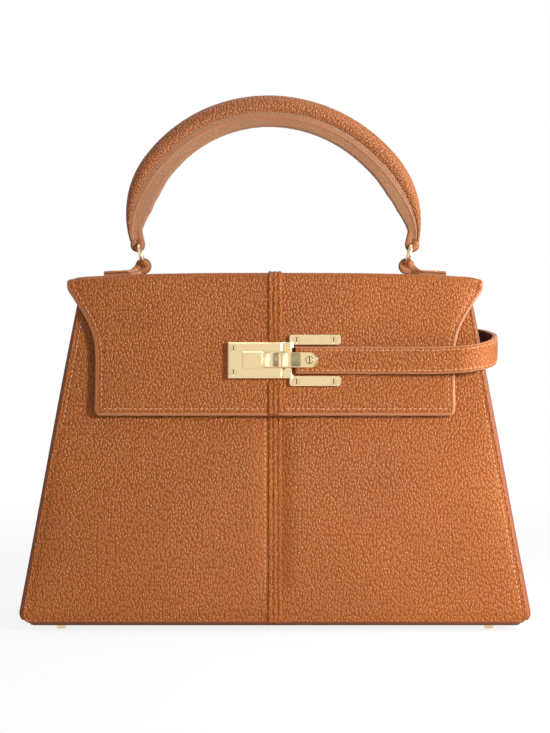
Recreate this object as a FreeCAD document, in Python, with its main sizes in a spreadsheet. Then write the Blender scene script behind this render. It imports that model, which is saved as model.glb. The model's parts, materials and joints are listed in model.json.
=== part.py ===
"""Top handle bag: a leather bag with a folded flap, a rolled arch handle on two rings,
and a side strap whose metal tongue lies in a lock on the flap.

Millimetres, +Z up, +X to the right seen from the front, the front faces -Y.
The origin is on the ground, under the middle of the base.
"""
import FreeCAD, Part
import Sketcher
import math
import operator
import os

doc = FreeCAD.newDocument("top_handle_bag")

# Driving dimensions

DIMENSIONS = [
    ("base_width", 332, "width of the front and back at the base"),
    ("mouth_width", 255, "width of the front and back at the mouth"),
    ("base_depth", 130, "depth of the bag at the base"),
    ("mouth_depth", 64, "depth of the bag at the mouth"),
    ("body_height", 220, "height from the base panel to the mouth"),
    ("corner_radius", 6, "rounding of the panels' lower corners"),
    ("leather", 2.2, "thickness of the outer leather"),
    ("board", 1.2, "thickness of the stiffening boards"),
    ("lining", 0.8, "thickness of the lining"),
    ("seam_rim", 7, "stitched rim of a panel outside the gusset"),
    ("gusset_fold", 14, "how far a gusset folds in at the mouth"),
    ("stack_gap", 0.2, "gap left between sewn pieces that meet at an angle"),
    ("welt_ridge", 2.4, "width of each of the centre welt's three ridges"),
    ("welt_height", 1.0, "height of the centre seam's welt"),
    ("welt_groove", 0.7, "width of the grooves between the welt's ridges"),
    ("welt_floor", 0.4, "thickness of the welt under its grooves"),
    ("base_thick", 3, "thickness of the base panel"),
    ("base_board_thick", 2, "thickness of the board inside the base"),
    ("foot_height", 3.5, "height of the metal feet"),
    ("foot_radius", 3.4, "radius of a foot where it meets the base"),
    ("foot_tip_radius", 2.8, "radius of a foot where it stands"),
    ("foot_stem_radius", 1.5, "radius of a foot's stem"),
    ("foot_inset_side", 27, "distance of a foot from the side of the base"),
    ("foot_inset_front", 14, "distance of a foot from the front of the base"),
    ("washer_radius", 5, "radius of a washer on a foot's stem"),
    ("washer_thick", 1, "thickness of a washer on a foot's stem"),
    ("hole_play", 0.1, "radial play of a pin in its hole"),
    ("fold_radius", 1.8, "radius of the rolled fold that the flap turns on"),
    ("fold_play", 0.3, "running gap round the rolled fold"),
    ("flap_lift", 0.6, "gap between the mouth and the flap"),
    ("flap_gap", 1.6, "gap between the front panel and the flap"),
    ("flap_lining_thick", 1.0, "thickness of the flap's lining"),
    ("flap_lining_inset", 2, "distance of the flap's lining from the flap's edge"),
    ("flap_width", 234, "width of the flap's front"),
    ("wing_width", 272, "width of the flap across the top"),
    ("wing_drop", 5, "depth of the flap's top corners below the flap's top"),
    ("shoulder_drop", 39, "depth of the end of the slanted edge below the flap's top"),
    ("flap_drop", 92.5, "depth of the flap's lower edge below the flap's top"),
    ("flap_corner", 4, "rounding of the flap's lower corners"),
    ("flap_fold", 5.8, "outer radius of the flap's front fold"),
    ("lock_drop", 57.6, "depth of the lock's middle below the flap's top"),
    ("lock_seat", 0.3, "gap between the flap and the metal on it"),
    ("lock_left", 30.6, "distance of the lock plate's left edge from the middle"),
    ("lock_right", 4.9, "distance of the lock plate's right edge from the middle"),
    ("lock_tall", 23.5, "height of the lock plate"),
    ("lock_base_thick", 0.6, "thickness of the plate under the lock plate"),
    ("lock_thick", 3.4, "thickness of the lock plate"),
    ("lock_bevel", 1.0, "bevel round the lock plate"),
    ("lock_face_wall", 1.4, "wall of the lock plate round its button"),
    ("button_left", 21.2, "distance of the button's left edge from the middle"),
    ("button_right", 8.0, "distance of the button's right edge from the middle"),
    ("button_tall", 11.2, "height of the button"),
    ("button_proud", 0.5, "how far the button stands out of the lock plate"),
    ("button_play", 0.3, "gap round the button"),
    ("button_flange", 1.2, "overhang of the button's flange"),
    ("flange_thick", 0.6, "thickness of the button's flange"),
    ("spring_thick", 0.25, "thickness of the leaf spring under the button"),
    ("channel_deep", 1.7, "depth of the tongue's channel in the lock plate"),
    ("tongue_tail", 7.2, "distance of the tongue's tail from the middle"),
    ("tongue_tip", 27.7, "distance of the tongue's rounded end from the middle"),
    ("tongue_tall", 10.8, "height of the tongue"),
    ("tongue_thick", 1.4, "thickness of the tongue"),
    ("tongue_play", 0.7, "gap between the tongue and what it lies on"),
    ("tongue_ramp", 2.0, "length of the tongue's slope up to the web"),
    ("tongue_round", 5.0, "rounding of the tongue's free end"),
    ("tongue_screw_place", 22.3, "distance of the tongue's screw from the middle"),
    ("tongue_screw_radius", 2.6, "radius of the head of the tongue's screw"),
    ("tongue_screw_head", 1.0, "height of the head of the tongue's screw"),
    ("tongue_shank", 1.2, "radius of the shank of the tongue's screw"),
    ("web_width", 7.1, "width of the strap guide's web"),
    ("web_height", 3.4, "height of the strap guide's web"),
    ("web_bevel", 1.6, "bevel of the strap guide's web"),
    ("arm_start", 9.5, "distance of the guide arms' left ends from the middle"),
    ("arm_end", 42.7, "distance of the guide arms' right ends from the middle"),
    ("arm_tall", 6.4, "height of a guide arm"),
    ("arm_thick", 2.2, "thickness of a guide arm"),
    ("arm_gap", 1.5, "gap between the strap's edge and a guide arm"),
    ("arm_round", 1.6, "rounding of a guide arm's corners"),
    ("screw_radius", 2.1, "radius of a screw's head"),
    ("screw_head", 1.0, "depth of a screw's countersunk head"),
    ("screw_shank", 0.9, "radius of a screw's shank"),
    ("screw_slot", 0.6, "width of a screw's slot"),
    ("lock_screw_in", 3.6, "distance of the lock screws from the plate's left edge"),
    ("lock_screw_pitch", 15.4, "distance between the two lock screws"),
    ("guide_screw_in", 4.6, "distance of the guide screws from the arms' ends"),
    ("strap_width", 17.6, "width of the strap"),
    ("strap_leather_thick", 1.8, "thickness of the strap's leather"),
    ("strap_lining_thick", 1.2, "thickness of the strap's lining"),
    ("strap_seat", 0.5, "gap between the flap and the strap at the lock"),
    ("strap_stand", 3.8, "gap between the flap and the strap at the flap's edge"),
    ("strap_end", 13.2, "distance of the strap's end from the middle"),
    ("strap_side_gap", 7.6, "gap between the side seam and the strap"),
    ("strap_front_bend", 22, "radius of the strap's front bend"),
    ("strap_back_bend", 16, "radius of the strap's back bend"),
    ("strap_back_stand", 9, "how far the strap stands off the back at its back bend"),
    ("strap_root_length", 62, "length of the strap behind the back"),
    ("strap_pad", 24, "length of the strap's end sewn flat to the back"),
    ("strap_rise", 6, "how much higher the strap runs at the back than at the lock"),
    ("strap_bend_steps", 6, "flat steps in each bend of the strap"),
    ("rivet_radius", 3, "radius of a rivet's head"),
    ("rivet_inset", 7, "distance of a rivet from the end of what it holds"),
    ("rivet_head", 0.9, "height of a rivet's head"),
    ("rivet_shank", 1.2, "radius of a rivet's shank"),
    ("ring_inset", 10, "distance of the rings in from the handle's widest place"),
    ("ring_radius", 5.8, "radius of a ring at the middle of its wire"),
    ("ring_wire", 1.35, "radius of a ring's wire"),
    ("loop_hole", 2.3, "radius of the hole in a leather loop"),
    ("loop_radius", 4.9, "outer radius of a leather loop"),
    ("loop_wall", 1.2, "wall of a leather loop inside its ring"),
    ("loop_width", 5.2, "width of a leather loop"),
    ("loop_shift", 0.3, "sideways offset of the loops from their ring"),
    ("ring_sag", 0.4, "how far a ring's wire lies off the middle of a loop's hole"),
    ("tab_reach", 24.5, "length of a handle tab outwards from its ring"),
    ("tab_width", 16, "width of a handle tab"),
    ("tab_thick", 3, "thickness of a handle tab"),
    ("handle_rise", 116.4, "height of the handle's top above the flap's top"),
    ("handle_half_span", 98.5, "half the outer width of the handle"),
    ("handle_spring", 34.4, "height above the flap's top at which the handle is widest"),
    ("handle_side_radius", 66, "outer radius of the handle's sides"),
    ("handle_roll", 7.15, "radius of the rolled handle"),
    ("handle_end_roll", 4.3, "radius of the rolled handle at its ends"),
    ("handle_wrap_thick", 1.6, "thickness of the leather round the handle"),
    ("handle_strip_deep", 6.8, "depth of the strip inside the handle's arch"),
    ("handle_strip_end", 2.4, "depth of that strip at the handle's ends"),
    ("handle_strip_wide", 9, "width of the strip inside the handle's arch"),
    ("handle_clear", 0.4, "gap between the rolled handle and its end loops"),
]


class Size:
    """A number together with the sheet formula that it comes from."""

    def __init__(self, value, text):
        self.value = value
        self.text = text

    def __add__(self, other):
        return joined(self, "+", other)

    def __radd__(self, other):
        return joined(other, "+", self)

    def __sub__(self, other):
        return joined(self, "-", other)

    def __rsub__(self, other):
        return joined(other, "-", self)

    def __mul__(self, other):
        return joined(self, "*", other)

    def __rmul__(self, other):
        return joined(other, "*", self)

    def __truediv__(self, other):
        return joined(self, "/", other)

    def __rtruediv__(self, other):
        return joined(other, "/", self)

    def __neg__(self):
        return joined(0, "-", self)


SIGNS = {"+": operator.add, "-": operator.sub, "*": operator.mul, "/": operator.truediv}


def as_size(number):
    if isinstance(number, Size):
        return number
    return Size(float(number), f"{number}")


def joined(left, sign, right):
    left = as_size(left)
    right = as_size(right)
    value = SIGNS[sign](left.value, right.value)
    return Size(value, f"({left.text} {sign} {right.text})")


def root_of(number):
    return Size(math.sqrt(number.value), f"sqrt({number.text})")


class Sizes:
    """The sheet's cells by name."""


sheet = doc.addObject("Spreadsheet::Sheet", "Dims")
size = Sizes()
for row, (alias, number, note) in enumerate(DIMENSIONS, start=1):
    sheet.set(f"A{row}", note)
    sheet.set(f"B{row}", f"{number}")
    sheet.setAlias(f"B{row}", alias)
    setattr(size, alias, Size(float(number), f"Dims.{alias}"))
doc.recompute()

# Sizes worked out from the driving dimensions

lean_tan = (size.base_depth - size.mouth_depth) / 2 / size.body_height
lean_cos = 1 / root_of(1 + lean_tan * lean_tan)
lean_sin = lean_tan * lean_cos
lean_angle = Size(math.degrees(math.atan(lean_tan.value)), f"atan({lean_tan.text})")
side_tan = (size.base_width - size.mouth_width) / 2 / size.body_height
panel_z = size.foot_height + size.base_thick
panel_foot = panel_z + size.leather * lean_sin
mouth_z = panel_foot + size.body_height
slope_length = size.body_height / lean_cos

flap_inner = size.flap_gap + size.flap_lining_thick
flap_outer = flap_inner + size.leather
flap_under = mouth_z + size.flap_lift
flap_core = flap_under + size.flap_lining_thick
flap_top = flap_core + size.leather
flap_low = flap_top - size.flap_drop
flap_shoulder = flap_top - size.shoulder_drop
flap_tip = flap_top - size.wing_drop

hinge_y = size.mouth_depth / 2 - size.leather / 2 * lean_cos - size.fold_radius * lean_sin
hinge_z = panel_foot + size.body_height - size.leather / 2 * lean_sin + size.fold_radius * lean_cos
flap_rear = hinge_y - size.fold_radius - size.fold_play

lock_height = flap_top - size.lock_drop
lock_slope = (lock_height - panel_foot) / lean_cos
metal_seat = flap_outer + size.lock_seat
plate_back = metal_seat + size.lock_base_thick
plate_face = plate_back + size.lock_thick

strap_thick = size.strap_leather_thick + size.strap_lining_thick
tongue_under = flap_outer + size.strap_seat + strap_thick + size.stack_gap

welt_width = 3 * size.welt_ridge + 2 * size.welt_groove

ring_place = size.handle_half_span - size.ring_inset
tab_end = ring_place + size.tab_reach
handle_top = flap_top + size.handle_rise
lower_loop_z = flap_top + size.hole_play + size.loop_radius
hole_offset = size.loop_radius - size.loop_wall - size.loop_hole
ring_height = lower_loop_z + hole_offset - size.ring_sag + size.ring_radius
upper_loop_z = 2 * ring_height - lower_loop_z


def front_y(height, outward):
    """Y of the plane that lies outward of the front panel's face, at a height."""
    return -size.base_depth / 2 + (height - panel_foot) * lean_tan - outward / lean_cos


def half_width_at(height):
    return size.base_width / 2 - (height - panel_z) * side_tan


# Helpers for sketches and features

finished = {}


def keep(label, thing):
    """Names a finished sub-part."""
    thing.Label = label
    finished[label] = thing
    return thing


def bind(thing, prop, number):
    number = as_size(number)
    thing.setExpression(prop, number.text)


def new_body(label):
    body = doc.addObject("PartDesign::Body", f"{label}_body")
    doc.recompute()
    return body


def new_sketch(body, role):
    plane = [item for item in body.Origin.OriginFeatures if item.Role == role][0]
    sketch = body.newObject("Sketcher::SketchObject", "Sketch")
    sketch.AttachmentSupport = [(plane, "")]
    sketch.MapMode = "FlatFace"
    return sketch


def pin_down(sketch, geometry, vertex, x, y):
    """Holds a sketch point at sheet sizes measured from the sketch's origin."""
    for kind, axis, number in (("DistanceX", -2, as_size(x)), ("DistanceY", -1, as_size(y))):
        if number.value == 0:
            sketch.addConstraint(Sketcher.Constraint("PointOnObject", geometry, vertex, axis))
        elif number.value > 0:
            place = sketch.addConstraint(Sketcher.Constraint(kind, -1, 1, geometry, vertex, number.value))
            bind(sketch, f"Constraints[{place}]", number)
        else:
            place = sketch.addConstraint(Sketcher.Constraint(kind, geometry, vertex, -1, 1, -number.value))
            bind(sketch, f"Constraints[{place}]", -number)


def flat(x, y):
    return FreeCAD.Vector(as_size(x).value, as_size(y).value, 0)


def draw_polygon(sketch, points):
    first = sketch.GeometryCount
    count = len(points)
    for place in range(count):
        start = flat(*points[place])
        end = flat(*points[(place + 1) % count])
        sketch.addGeometry(Part.LineSegment(start, end), False)
    for place in range(count):
        here = first + place
        after = first + (place + 1) % count
        sketch.addConstraint(Sketcher.Constraint("Coincident", here, 2, after, 1))
    for place, (x, y) in enumerate(points):
        pin_down(sketch, first + place, 1, x, y)


def draw_circle(sketch, x, y, radius):
    circle = Part.Circle(flat(x, y), FreeCAD.Vector(0, 0, 1), radius.value)
    geometry = sketch.addGeometry(circle, False)
    place = sketch.addConstraint(Sketcher.Constraint("Radius", geometry, radius.value))
    bind(sketch, f"Constraints[{place}]", radius)
    pin_down(sketch, geometry, 3, x, y)


def pad(body, sketch, length, both_ways=False, backwards=False):
    feature = body.newObject("PartDesign::Pad", "Pad")
    feature.Profile = sketch
    feature.Length = length.value
    bind(feature, "Length", length)
    feature.SideType = "Symmetric" if both_ways else "One side"
    feature.Reversed = backwards
    doc.recompute()
    return feature


def cut_through(body, sketch):
    before = body.Shape.Volume
    feature = body.newObject("PartDesign::Pocket", "Pocket")
    feature.Profile = sketch
    feature.Type = "ThroughAll"
    feature.SideType = "Symmetric"
    doc.recompute()
    if body.Shape.Volume >= before:
        raise RuntimeError(f"{body.Name}: a cut removes nothing")
    return feature


def round_edges(body, radius, chosen, kind="PartDesign::Fillet"):
    """Rounds or bevels the edges that the function chosen picks."""
    tip = body.Tip
    names = [f"Edge{place + 1}" for place, edge in enumerate(tip.Shape.Edges) if chosen(edge)]
    if not names:
        raise RuntimeError(f"{body.Name}: no edge to round")
    feature = body.newObject(kind, "Edges")
    feature.Base = (tip, names)
    prop = "Radius" if kind.endswith("Fillet") else "Size"
    setattr(feature, prop, radius.value)
    bind(feature, prop, radius)
    doc.recompute()
    return feature


NEAR = 0.01


def edge_at(**wanted):
    """Picks edges whose ends all have the wanted coordinates."""
    def chosen(edge):
        ends = [vertex.Point for vertex in edge.Vertexes]
        if len(ends) < 2:
            return False
        return all(abs(getattr(end, axis) - as_size(number).value) < NEAR
                   for end in ends for axis, number in wanted.items())
    return chosen


def any_of(*choices):
    return lambda edge: any(choice(edge) for choice in choices)


def move_to(thing, x=0, y=0, z=0):
    for axis, number in (("x", x), ("y", y), ("z", z)):
        bind(thing, f"Placement.Base.{axis}", number)


TURN_X = FreeCAD.Vector(1, 0, 0)


def on_front(thing, across=0, up=0, outward=0):
    """Lays a piece drawn in XY on the front: Y runs up the panel, Z points outwards."""
    thing.Placement = FreeCAD.Placement(
        FreeCAD.Vector(), FreeCAD.Rotation(TURN_X, 90 - lean_angle.value))
    thing.setExpression("Placement.Rotation.Angle", f"90 deg - {lean_angle.text}")
    move_to(thing, across,
            -size.base_depth / 2 + up * lean_sin - outward * lean_cos,
            panel_foot + up * lean_cos + outward * lean_sin)
    return thing


def on_back(thing, across=0, up=0, outward=0):
    """Lays a piece drawn in XY on the back: Y runs up the panel, Z points into the bag."""
    thing.Placement = FreeCAD.Placement(
        FreeCAD.Vector(), FreeCAD.Rotation(TURN_X, 90 + lean_angle.value))
    thing.setExpression("Placement.Rotation.Angle", f"90 deg + {lean_angle.text}")
    move_to(thing, across,
            size.base_depth / 2 - up * lean_sin + outward * lean_cos,
            panel_foot + up * lean_cos + outward * lean_sin)
    return thing


def cylinder(radius, height, z=0, x=0, y=0):
    thing = doc.addObject("Part::Cylinder", "Cylinder")
    bind(thing, "Radius", radius)
    bind(thing, "Height", height)
    move_to(thing, x, y, z)
    return thing


def cone(low_radius, high_radius, height, z=0, x=0, y=0):
    thing = doc.addObject("Part::Cone", "Cone")
    bind(thing, "Radius1", low_radius)
    bind(thing, "Radius2", high_radius)
    bind(thing, "Height", height)
    move_to(thing, x, y, z)
    return thing


def box(low, high):
    thing = doc.addObject("Part::Box", "Box")
    for prop, start, end in zip(("Length", "Width", "Height"), low, high):
        bind(thing, prop, as_size(end) - start)
    move_to(thing, *low)
    return thing


def fuse(first, second):
    thing = doc.addObject("Part::Fuse", "Fuse")
    thing.Base = first
    thing.Tool = second
    return thing


def cut(first, second):
    thing = doc.addObject("Part::Cut", "Cut")
    thing.Base = first
    thing.Tool = second
    return thing


def group(label, things):
    """One node made of separate solids."""
    thing = doc.addObject("Part::Compound", label)
    thing.Links = things
    return keep(label, thing)


def solid(label, shape):
    thing = doc.addObject("Part::Feature", label)
    thing.Shape = shape
    return keep(label, thing)


# Front and back: two leather halves, a welt over the seam, a board and a lining

def panel_outline(inset, sign):
    """Half of a panel from the middle seam outwards, inset at the side, base and mouth."""
    base_half = size.base_width / 2 - inset
    mouth_half = size.mouth_width / 2 - inset
    return [(sign * size.stack_gap / 2, inset), (sign * base_half, inset),
            (sign * mouth_half, slope_length - inset), (sign * size.stack_gap / 2, slope_length - inset)]


def leather_half(label, sign, lay):
    body = new_body(label)
    sketch = new_sketch(body, "XY_Plane")
    draw_polygon(sketch, panel_outline(as_size(0), sign))
    inwards = lay is on_front
    pad(body, sketch, size.leather, backwards=inwards)
    round_edges(body, size.corner_radius, edge_at(x=sign * size.base_width / 2, y=0))
    lay(body)
    return keep(label, body)


def inner_sheet(label, lay, inset, depth, thick):
    """A whole board or lining that lies behind the leather."""
    body = new_body(label)
    sketch = new_sketch(body, "XY_Plane")
    base_half = size.base_width / 2 - inset
    tuck = size.gusset_fold * (size.board + size.lining) / (size.mouth_depth / 2 - size.leather)
    mouth_half = size.mouth_width / 2 - inset - tuck
    lift = size.base_board_thick + size.leather
    draw_polygon(sketch, [(-base_half + lift * side_tan, lift), (base_half - lift * side_tan, lift),
                          (mouth_half, slope_length), (-mouth_half, slope_length)])
    inwards = lay is on_front
    pad(body, sketch, thick, backwards=inwards)
    lay(body, outward=-depth)
    return keep(label, body)


def welt_profile(sketch, sign):
    """Three ridges side by side with two grooves between them."""
    step = size.welt_ridge + size.welt_groove
    bevel = size.welt_height - size.welt_floor
    points = [(-welt_width / 2, as_size(0)), (welt_width / 2, as_size(0))]
    for place in (1, 0, -1):
        right = place * step + size.welt_ridge / 2
        left = place * step - size.welt_ridge / 2
        points += [(right, sign * size.welt_floor), (right - bevel, sign * size.welt_height),
                   (left + bevel, sign * size.welt_height), (left, sign * size.welt_floor)]
    draw_polygon(sketch, points)


def straight_welt(label, lay):
    body = new_body(label)
    sketch = new_sketch(body, "XZ_Plane")
    outwards = 1 if lay is on_front else -1
    welt_profile(sketch, outwards)
    pad(body, sketch, slope_length - size.flap_fold, backwards=True)
    lay(body)
    return keep(label, body)


board_inset = size.seam_rim + size.leather + size.stack_gap
for place, lay in (("front", on_front), ("back", on_back)):
    for side, sign in (("left", -1), ("right", 1)):
        leather_half(f"{place}_panel_{side}", sign, lay)
    straight_welt(f"{place}_centre_welt", lay)
    inner_sheet(f"{place}_board", lay, board_inset, size.leather, size.board)
    inner_sheet(f"lining_{place}", lay, board_inset, size.leather + size.board, size.lining)

# Gussets: side panels that fold in towards the mouth, each with its lining

def gusset_outline(half_depth, end_x, fold_x, thick, height):
    """A strip across the side, bent in at its middle."""
    corners = [(end_x, -half_depth), (fold_x, 0.0), (end_x, half_depth),
               (end_x - thick, half_depth), (fold_x - thick, 0.0), (end_x - thick, -half_depth)]
    return Part.makePolygon([FreeCAD.Vector(x, y, height) for x, y in corners + corners[:1]])


def gusset_shape(inset, thick, behind, low, high):
    """A ruled skin from the base to the mouth between the two panels."""
    rings = []
    for height in (low, high):
        share = (height - panel_z.value) / size.body_height.value
        fold = size.gusset_fold.value * share
        outer_x = half_width_at(as_size(height)).value - inset
        leather_face = -front_y(as_size(height), -size.leather).value
        half_depth = leather_face - behind / lean_cos.value - size.stack_gap.value
        end_x = outer_x - fold * (1 - half_depth / leather_face)
        rings.append(gusset_outline(half_depth, end_x, outer_x - fold, thick, height))
    return Part.makeLoft(rings, True, True)


def mirrored(shape):
    return shape.mirror(FreeCAD.Vector(0, 0, 0), FreeCAD.Vector(1, 0, 0))


gusset_low = panel_z.value + size.stack_gap.value
gusset_skin = gusset_shape(size.seam_rim.value, size.leather.value, 0.0, gusset_low, mouth_z.value)
inner_depth = size.board.value + size.lining.value
lining_foot = panel_z.value + size.base_board_thick.value + size.lining.value + size.stack_gap.value
lining_skin = gusset_shape(size.seam_rim.value + size.leather.value + size.stack_gap.value,
                           size.lining.value, inner_depth, lining_foot, mouth_z.value)
solid("gusset_right", gusset_skin)
solid("gusset_left", mirrored(gusset_skin))
solid("lining_right", lining_skin)
solid("lining_left", mirrored(lining_skin))

# Base: a leather panel under the walls, a board, a lining and four metal feet

foot_x = size.base_width / 2 - size.foot_inset_side
foot_y = size.base_depth / 2 - size.foot_inset_front
FOOT_PLACES = [(sign_x * foot_x, sign_y * foot_y) for sign_x in (-1, 1) for sign_y in (-1, 1)]


def base_sheet(label, half_width, half_depth, low, thick, corner, hole):
    body = new_body(label)
    sketch = new_sketch(body, "XY_Plane")
    draw_polygon(sketch, [(-half_width, -half_depth), (half_width, -half_depth),
                          (half_width, half_depth), (-half_width, half_depth)])
    if hole is not None:
        for x, y in FOOT_PLACES:
            draw_circle(sketch, x, y, hole)
    pad(body, sketch, thick)
    upright = [edge_at(x=sx * half_width, y=sy * half_depth) for sx in (-1, 1) for sy in (-1, 1)]
    round_edges(body, corner, any_of(*upright))
    move_to(body, z=low)
    return keep(label, body)


stem_hole = size.foot_stem_radius + size.hole_play
inner_half_width = size.base_width / 2 - size.seam_rim - size.leather - size.stack_gap - (
    size.base_board_thick + size.lining) * side_tan
inner_half_depth = size.base_depth / 2 - size.leather / lean_cos - size.stack_gap - (
    size.base_board_thick + size.leather) * lean_tan
base_sheet("base_panel", size.base_width / 2 - size.seam_rim, size.base_depth / 2, size.foot_height,
           size.base_thick, size.leather, stem_hole)
base_sheet("base_board", inner_half_width, inner_half_depth, panel_z, size.base_board_thick,
           size.leather, size.washer_radius + size.hole_play)
lining_half_depth = inner_half_depth - (size.board + size.lining) / lean_cos
base_sheet("lining_base", inner_half_width - size.lining - size.stack_gap, lining_half_depth,
           panel_z + size.base_board_thick, size.lining, size.leather, None)

feet = []
washers = []
for x, y in FOOT_PLACES:
    foot = cone(size.foot_tip_radius, size.foot_radius, size.foot_height, 0, x, y)
    stem_length = size.base_thick + size.washer_thick + size.foot_height / 2
    stem = cylinder(size.foot_stem_radius, stem_length, size.foot_height / 2, x, y)
    feet.append(fuse(foot, stem))
    disc = cylinder(size.washer_radius, size.washer_thick, panel_z, x, y)
    washers.append(cut(disc, cylinder(stem_hole, size.washer_thick, panel_z, x, y)))
group("base_feet", feet)
group("foot_washers", washers)

# Rolled fold along the top of the back, which the flap turns on

fold = cylinder(size.fold_radius, size.mouth_width)
fold.Placement = FreeCAD.Placement(FreeCAD.Vector(), FreeCAD.Rotation(FreeCAD.Vector(0, 1, 0), 90))
move_to(fold, -size.mouth_width / 2, hinge_y, hinge_z)
keep("flap_fold", fold)

# Flap: two leather halves, a welt over the seam and a lining, bent over the front

def flap_section(top, core, outer, inner, low):
    """The flap seen from the side: along the top, then down the front."""
    return [(flap_rear, top), (front_y(top, outer), top), (front_y(low, outer), low),
            (front_y(low, inner), low), (front_y(core, inner), core), (flap_rear, core)]


def trim_outside(body, sign, half_front, half_top, low):
    """Cuts the slanted and upright side edges of the flap's front."""
    past = half_top + size.flap_fold
    sketch = new_sketch(body, "XZ_Plane")
    draw_polygon(sketch, [(sign * half_top, flap_tip), (sign * half_front, flap_shoulder),
                          (sign * half_front, low - size.flap_fold), (sign * past, low - size.flap_fold),
                          (sign * past, flap_tip)])
    cut_through(body, sketch)


def round_fold(body, top, core, outer, inner):
    """Rounds the flap's front fold outside and inside."""
    round_edges(body, size.flap_fold, edge_at(y=front_y(top, outer), z=top))
    inside = size.flap_fold - (top - core)
    round_edges(body, inside, edge_at(y=front_y(core, inner), z=core))


def flap_half(label, sign):
    body = new_body(label)
    sketch = new_sketch(body, "YZ_Plane")
    draw_polygon(sketch, flap_section(flap_top, flap_core, flap_outer, flap_inner, flap_low))
    pad(body, sketch, size.wing_width / 2, backwards=sign < 0)
    round_fold(body, flap_top, flap_core, flap_outer, flap_inner)
    trim_outside(body, sign, size.flap_width / 2, size.wing_width / 2, flap_low)
    round_edges(body, size.flap_corner, edge_at(x=sign * size.flap_width / 2, z=flap_low))
    return body


def flap_lining():
    body = new_body("flap_lining")
    sketch = new_sketch(body, "YZ_Plane")
    low = flap_low + size.flap_lining_inset
    draw_polygon(sketch, flap_section(flap_core, flap_under, flap_inner, size.flap_gap, low))
    half_top = size.wing_width / 2 - size.flap_lining_inset
    pad(body, sketch, half_top * 2, both_ways=True)
    inside = size.flap_fold - size.leather
    round_edges(body, inside, edge_at(y=front_y(flap_core, flap_inner), z=flap_core))
    innermost = inside - size.flap_lining_thick
    round_edges(body, innermost, edge_at(y=front_y(flap_under, size.flap_gap), z=flap_under))
    for sign in (-1, 1):
        trim_outside(body, sign, size.flap_width / 2 - size.flap_lining_inset, half_top, low)
    return keep("flap_lining", body)


def flap_ribbon(low_place, high_place, low_lift, high_lift):
    """A strip along the flap's middle, from one lift off its leather to another."""
    body = new_body("flap_welt")
    sketch = new_sketch(body, "YZ_Plane")
    crest = flap_top + high_lift
    outer = flap_outer + high_lift
    under = flap_outer + low_lift
    foot = flap_top + low_lift
    draw_polygon(sketch, flap_section(crest, foot, outer, under, flap_low))
    pad(body, sketch, high_place - low_place, both_ways=True)
    round_edges(body, size.flap_fold + high_lift, edge_at(y=front_y(crest, outer), z=crest))
    round_edges(body, size.flap_fold + low_lift, edge_at(y=front_y(foot, under), z=foot))
    move_to(body, x=(low_place + high_place) / 2)
    return body


def flap_welt():
    """Three ridges that follow the flap, pared down under the lock."""
    welt = flap_ribbon(-welt_width / 2, welt_width / 2, as_size(0), size.welt_floor)
    step = size.welt_ridge + size.welt_groove
    for place in (-1, 0, 1):
        middle = place * step
        ridge = flap_ribbon(middle - size.welt_ridge / 2, middle + size.welt_ridge / 2,
                            size.welt_floor / 2, size.welt_height)
        welt = fuse(welt, ridge)
    seat = metal_seat - size.stack_gap / 2
    reach = size.lock_tall / 2 + size.stack_gap
    notch = box((0, 0, 0), (2 * welt_width, 2 * reach, size.flap_fold))
    on_front(notch, -welt_width, lock_slope - reach, seat)
    return keep("flap_centre_welt", cut(welt, notch))


flap_lining()
flap_welt()
flap_halves = {side: flap_half(f"flap_{side}", sign) for side, sign in (("left", -1), ("right", 1))}

# Screws and rivets, drawn with the face they bear on at the origin and the shank below it

def screw(shank_length):
    """A countersunk screw with a straight slot."""
    head = cone(size.screw_shank, size.screw_radius, size.screw_head, -size.screw_head)
    whole = fuse(head, cylinder(size.screw_shank, shank_length, -shank_length))
    slot_deep = size.screw_head / 2
    slot = box((-size.screw_slot / 2, -size.screw_radius, -slot_deep),
               (size.screw_slot / 2, size.screw_radius, slot_deep))
    return cut(whole, slot)


def screw_hole(depth):
    """The countersunk hole that a screw sits in."""
    play = size.hole_play
    head = cone(size.screw_shank + play, size.screw_radius + play, size.screw_head, -size.screw_head)
    return fuse(head, cylinder(size.screw_shank + play, depth, -depth))


def rivet(radius, height, shank_radius, shank_length):
    head = cone(radius, radius - height / 2, height)
    return fuse(head, cylinder(shank_radius, shank_length + height / 2, -shank_length))


def plain_hole(radius, depth):
    """A straight hole, drawn from its low end."""
    return cylinder(radius + size.hole_play, depth)


# Lock: a plate with a push-button and an open channel for the strap's tongue

window_right = -(size.tongue_tail + size.tongue_play)
lock_screw_x = -size.lock_left + size.lock_screw_in
lock_screw_ys = [sign * size.lock_screw_pitch / 2 for sign in (-1, 1)]


def lock_sheet(thick):
    body = new_body("lock")
    sketch = new_sketch(body, "XY_Plane")
    half = size.lock_tall / 2
    draw_polygon(sketch, [(-size.lock_left, -half), (size.lock_right, -half),
                          (size.lock_right, half), (-size.lock_left, half)])
    pad(body, sketch, thick)
    return body


def lock_base():
    plate = lock_sheet(size.lock_base_thick)
    for y in lock_screw_ys:
        hole = cylinder(size.screw_shank + size.hole_play, size.lock_base_thick, 0, lock_screw_x, y)
        plate = cut(plate, hole)
    return keep("lock_base", on_front(plate, 0, lock_slope, metal_seat))


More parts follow.
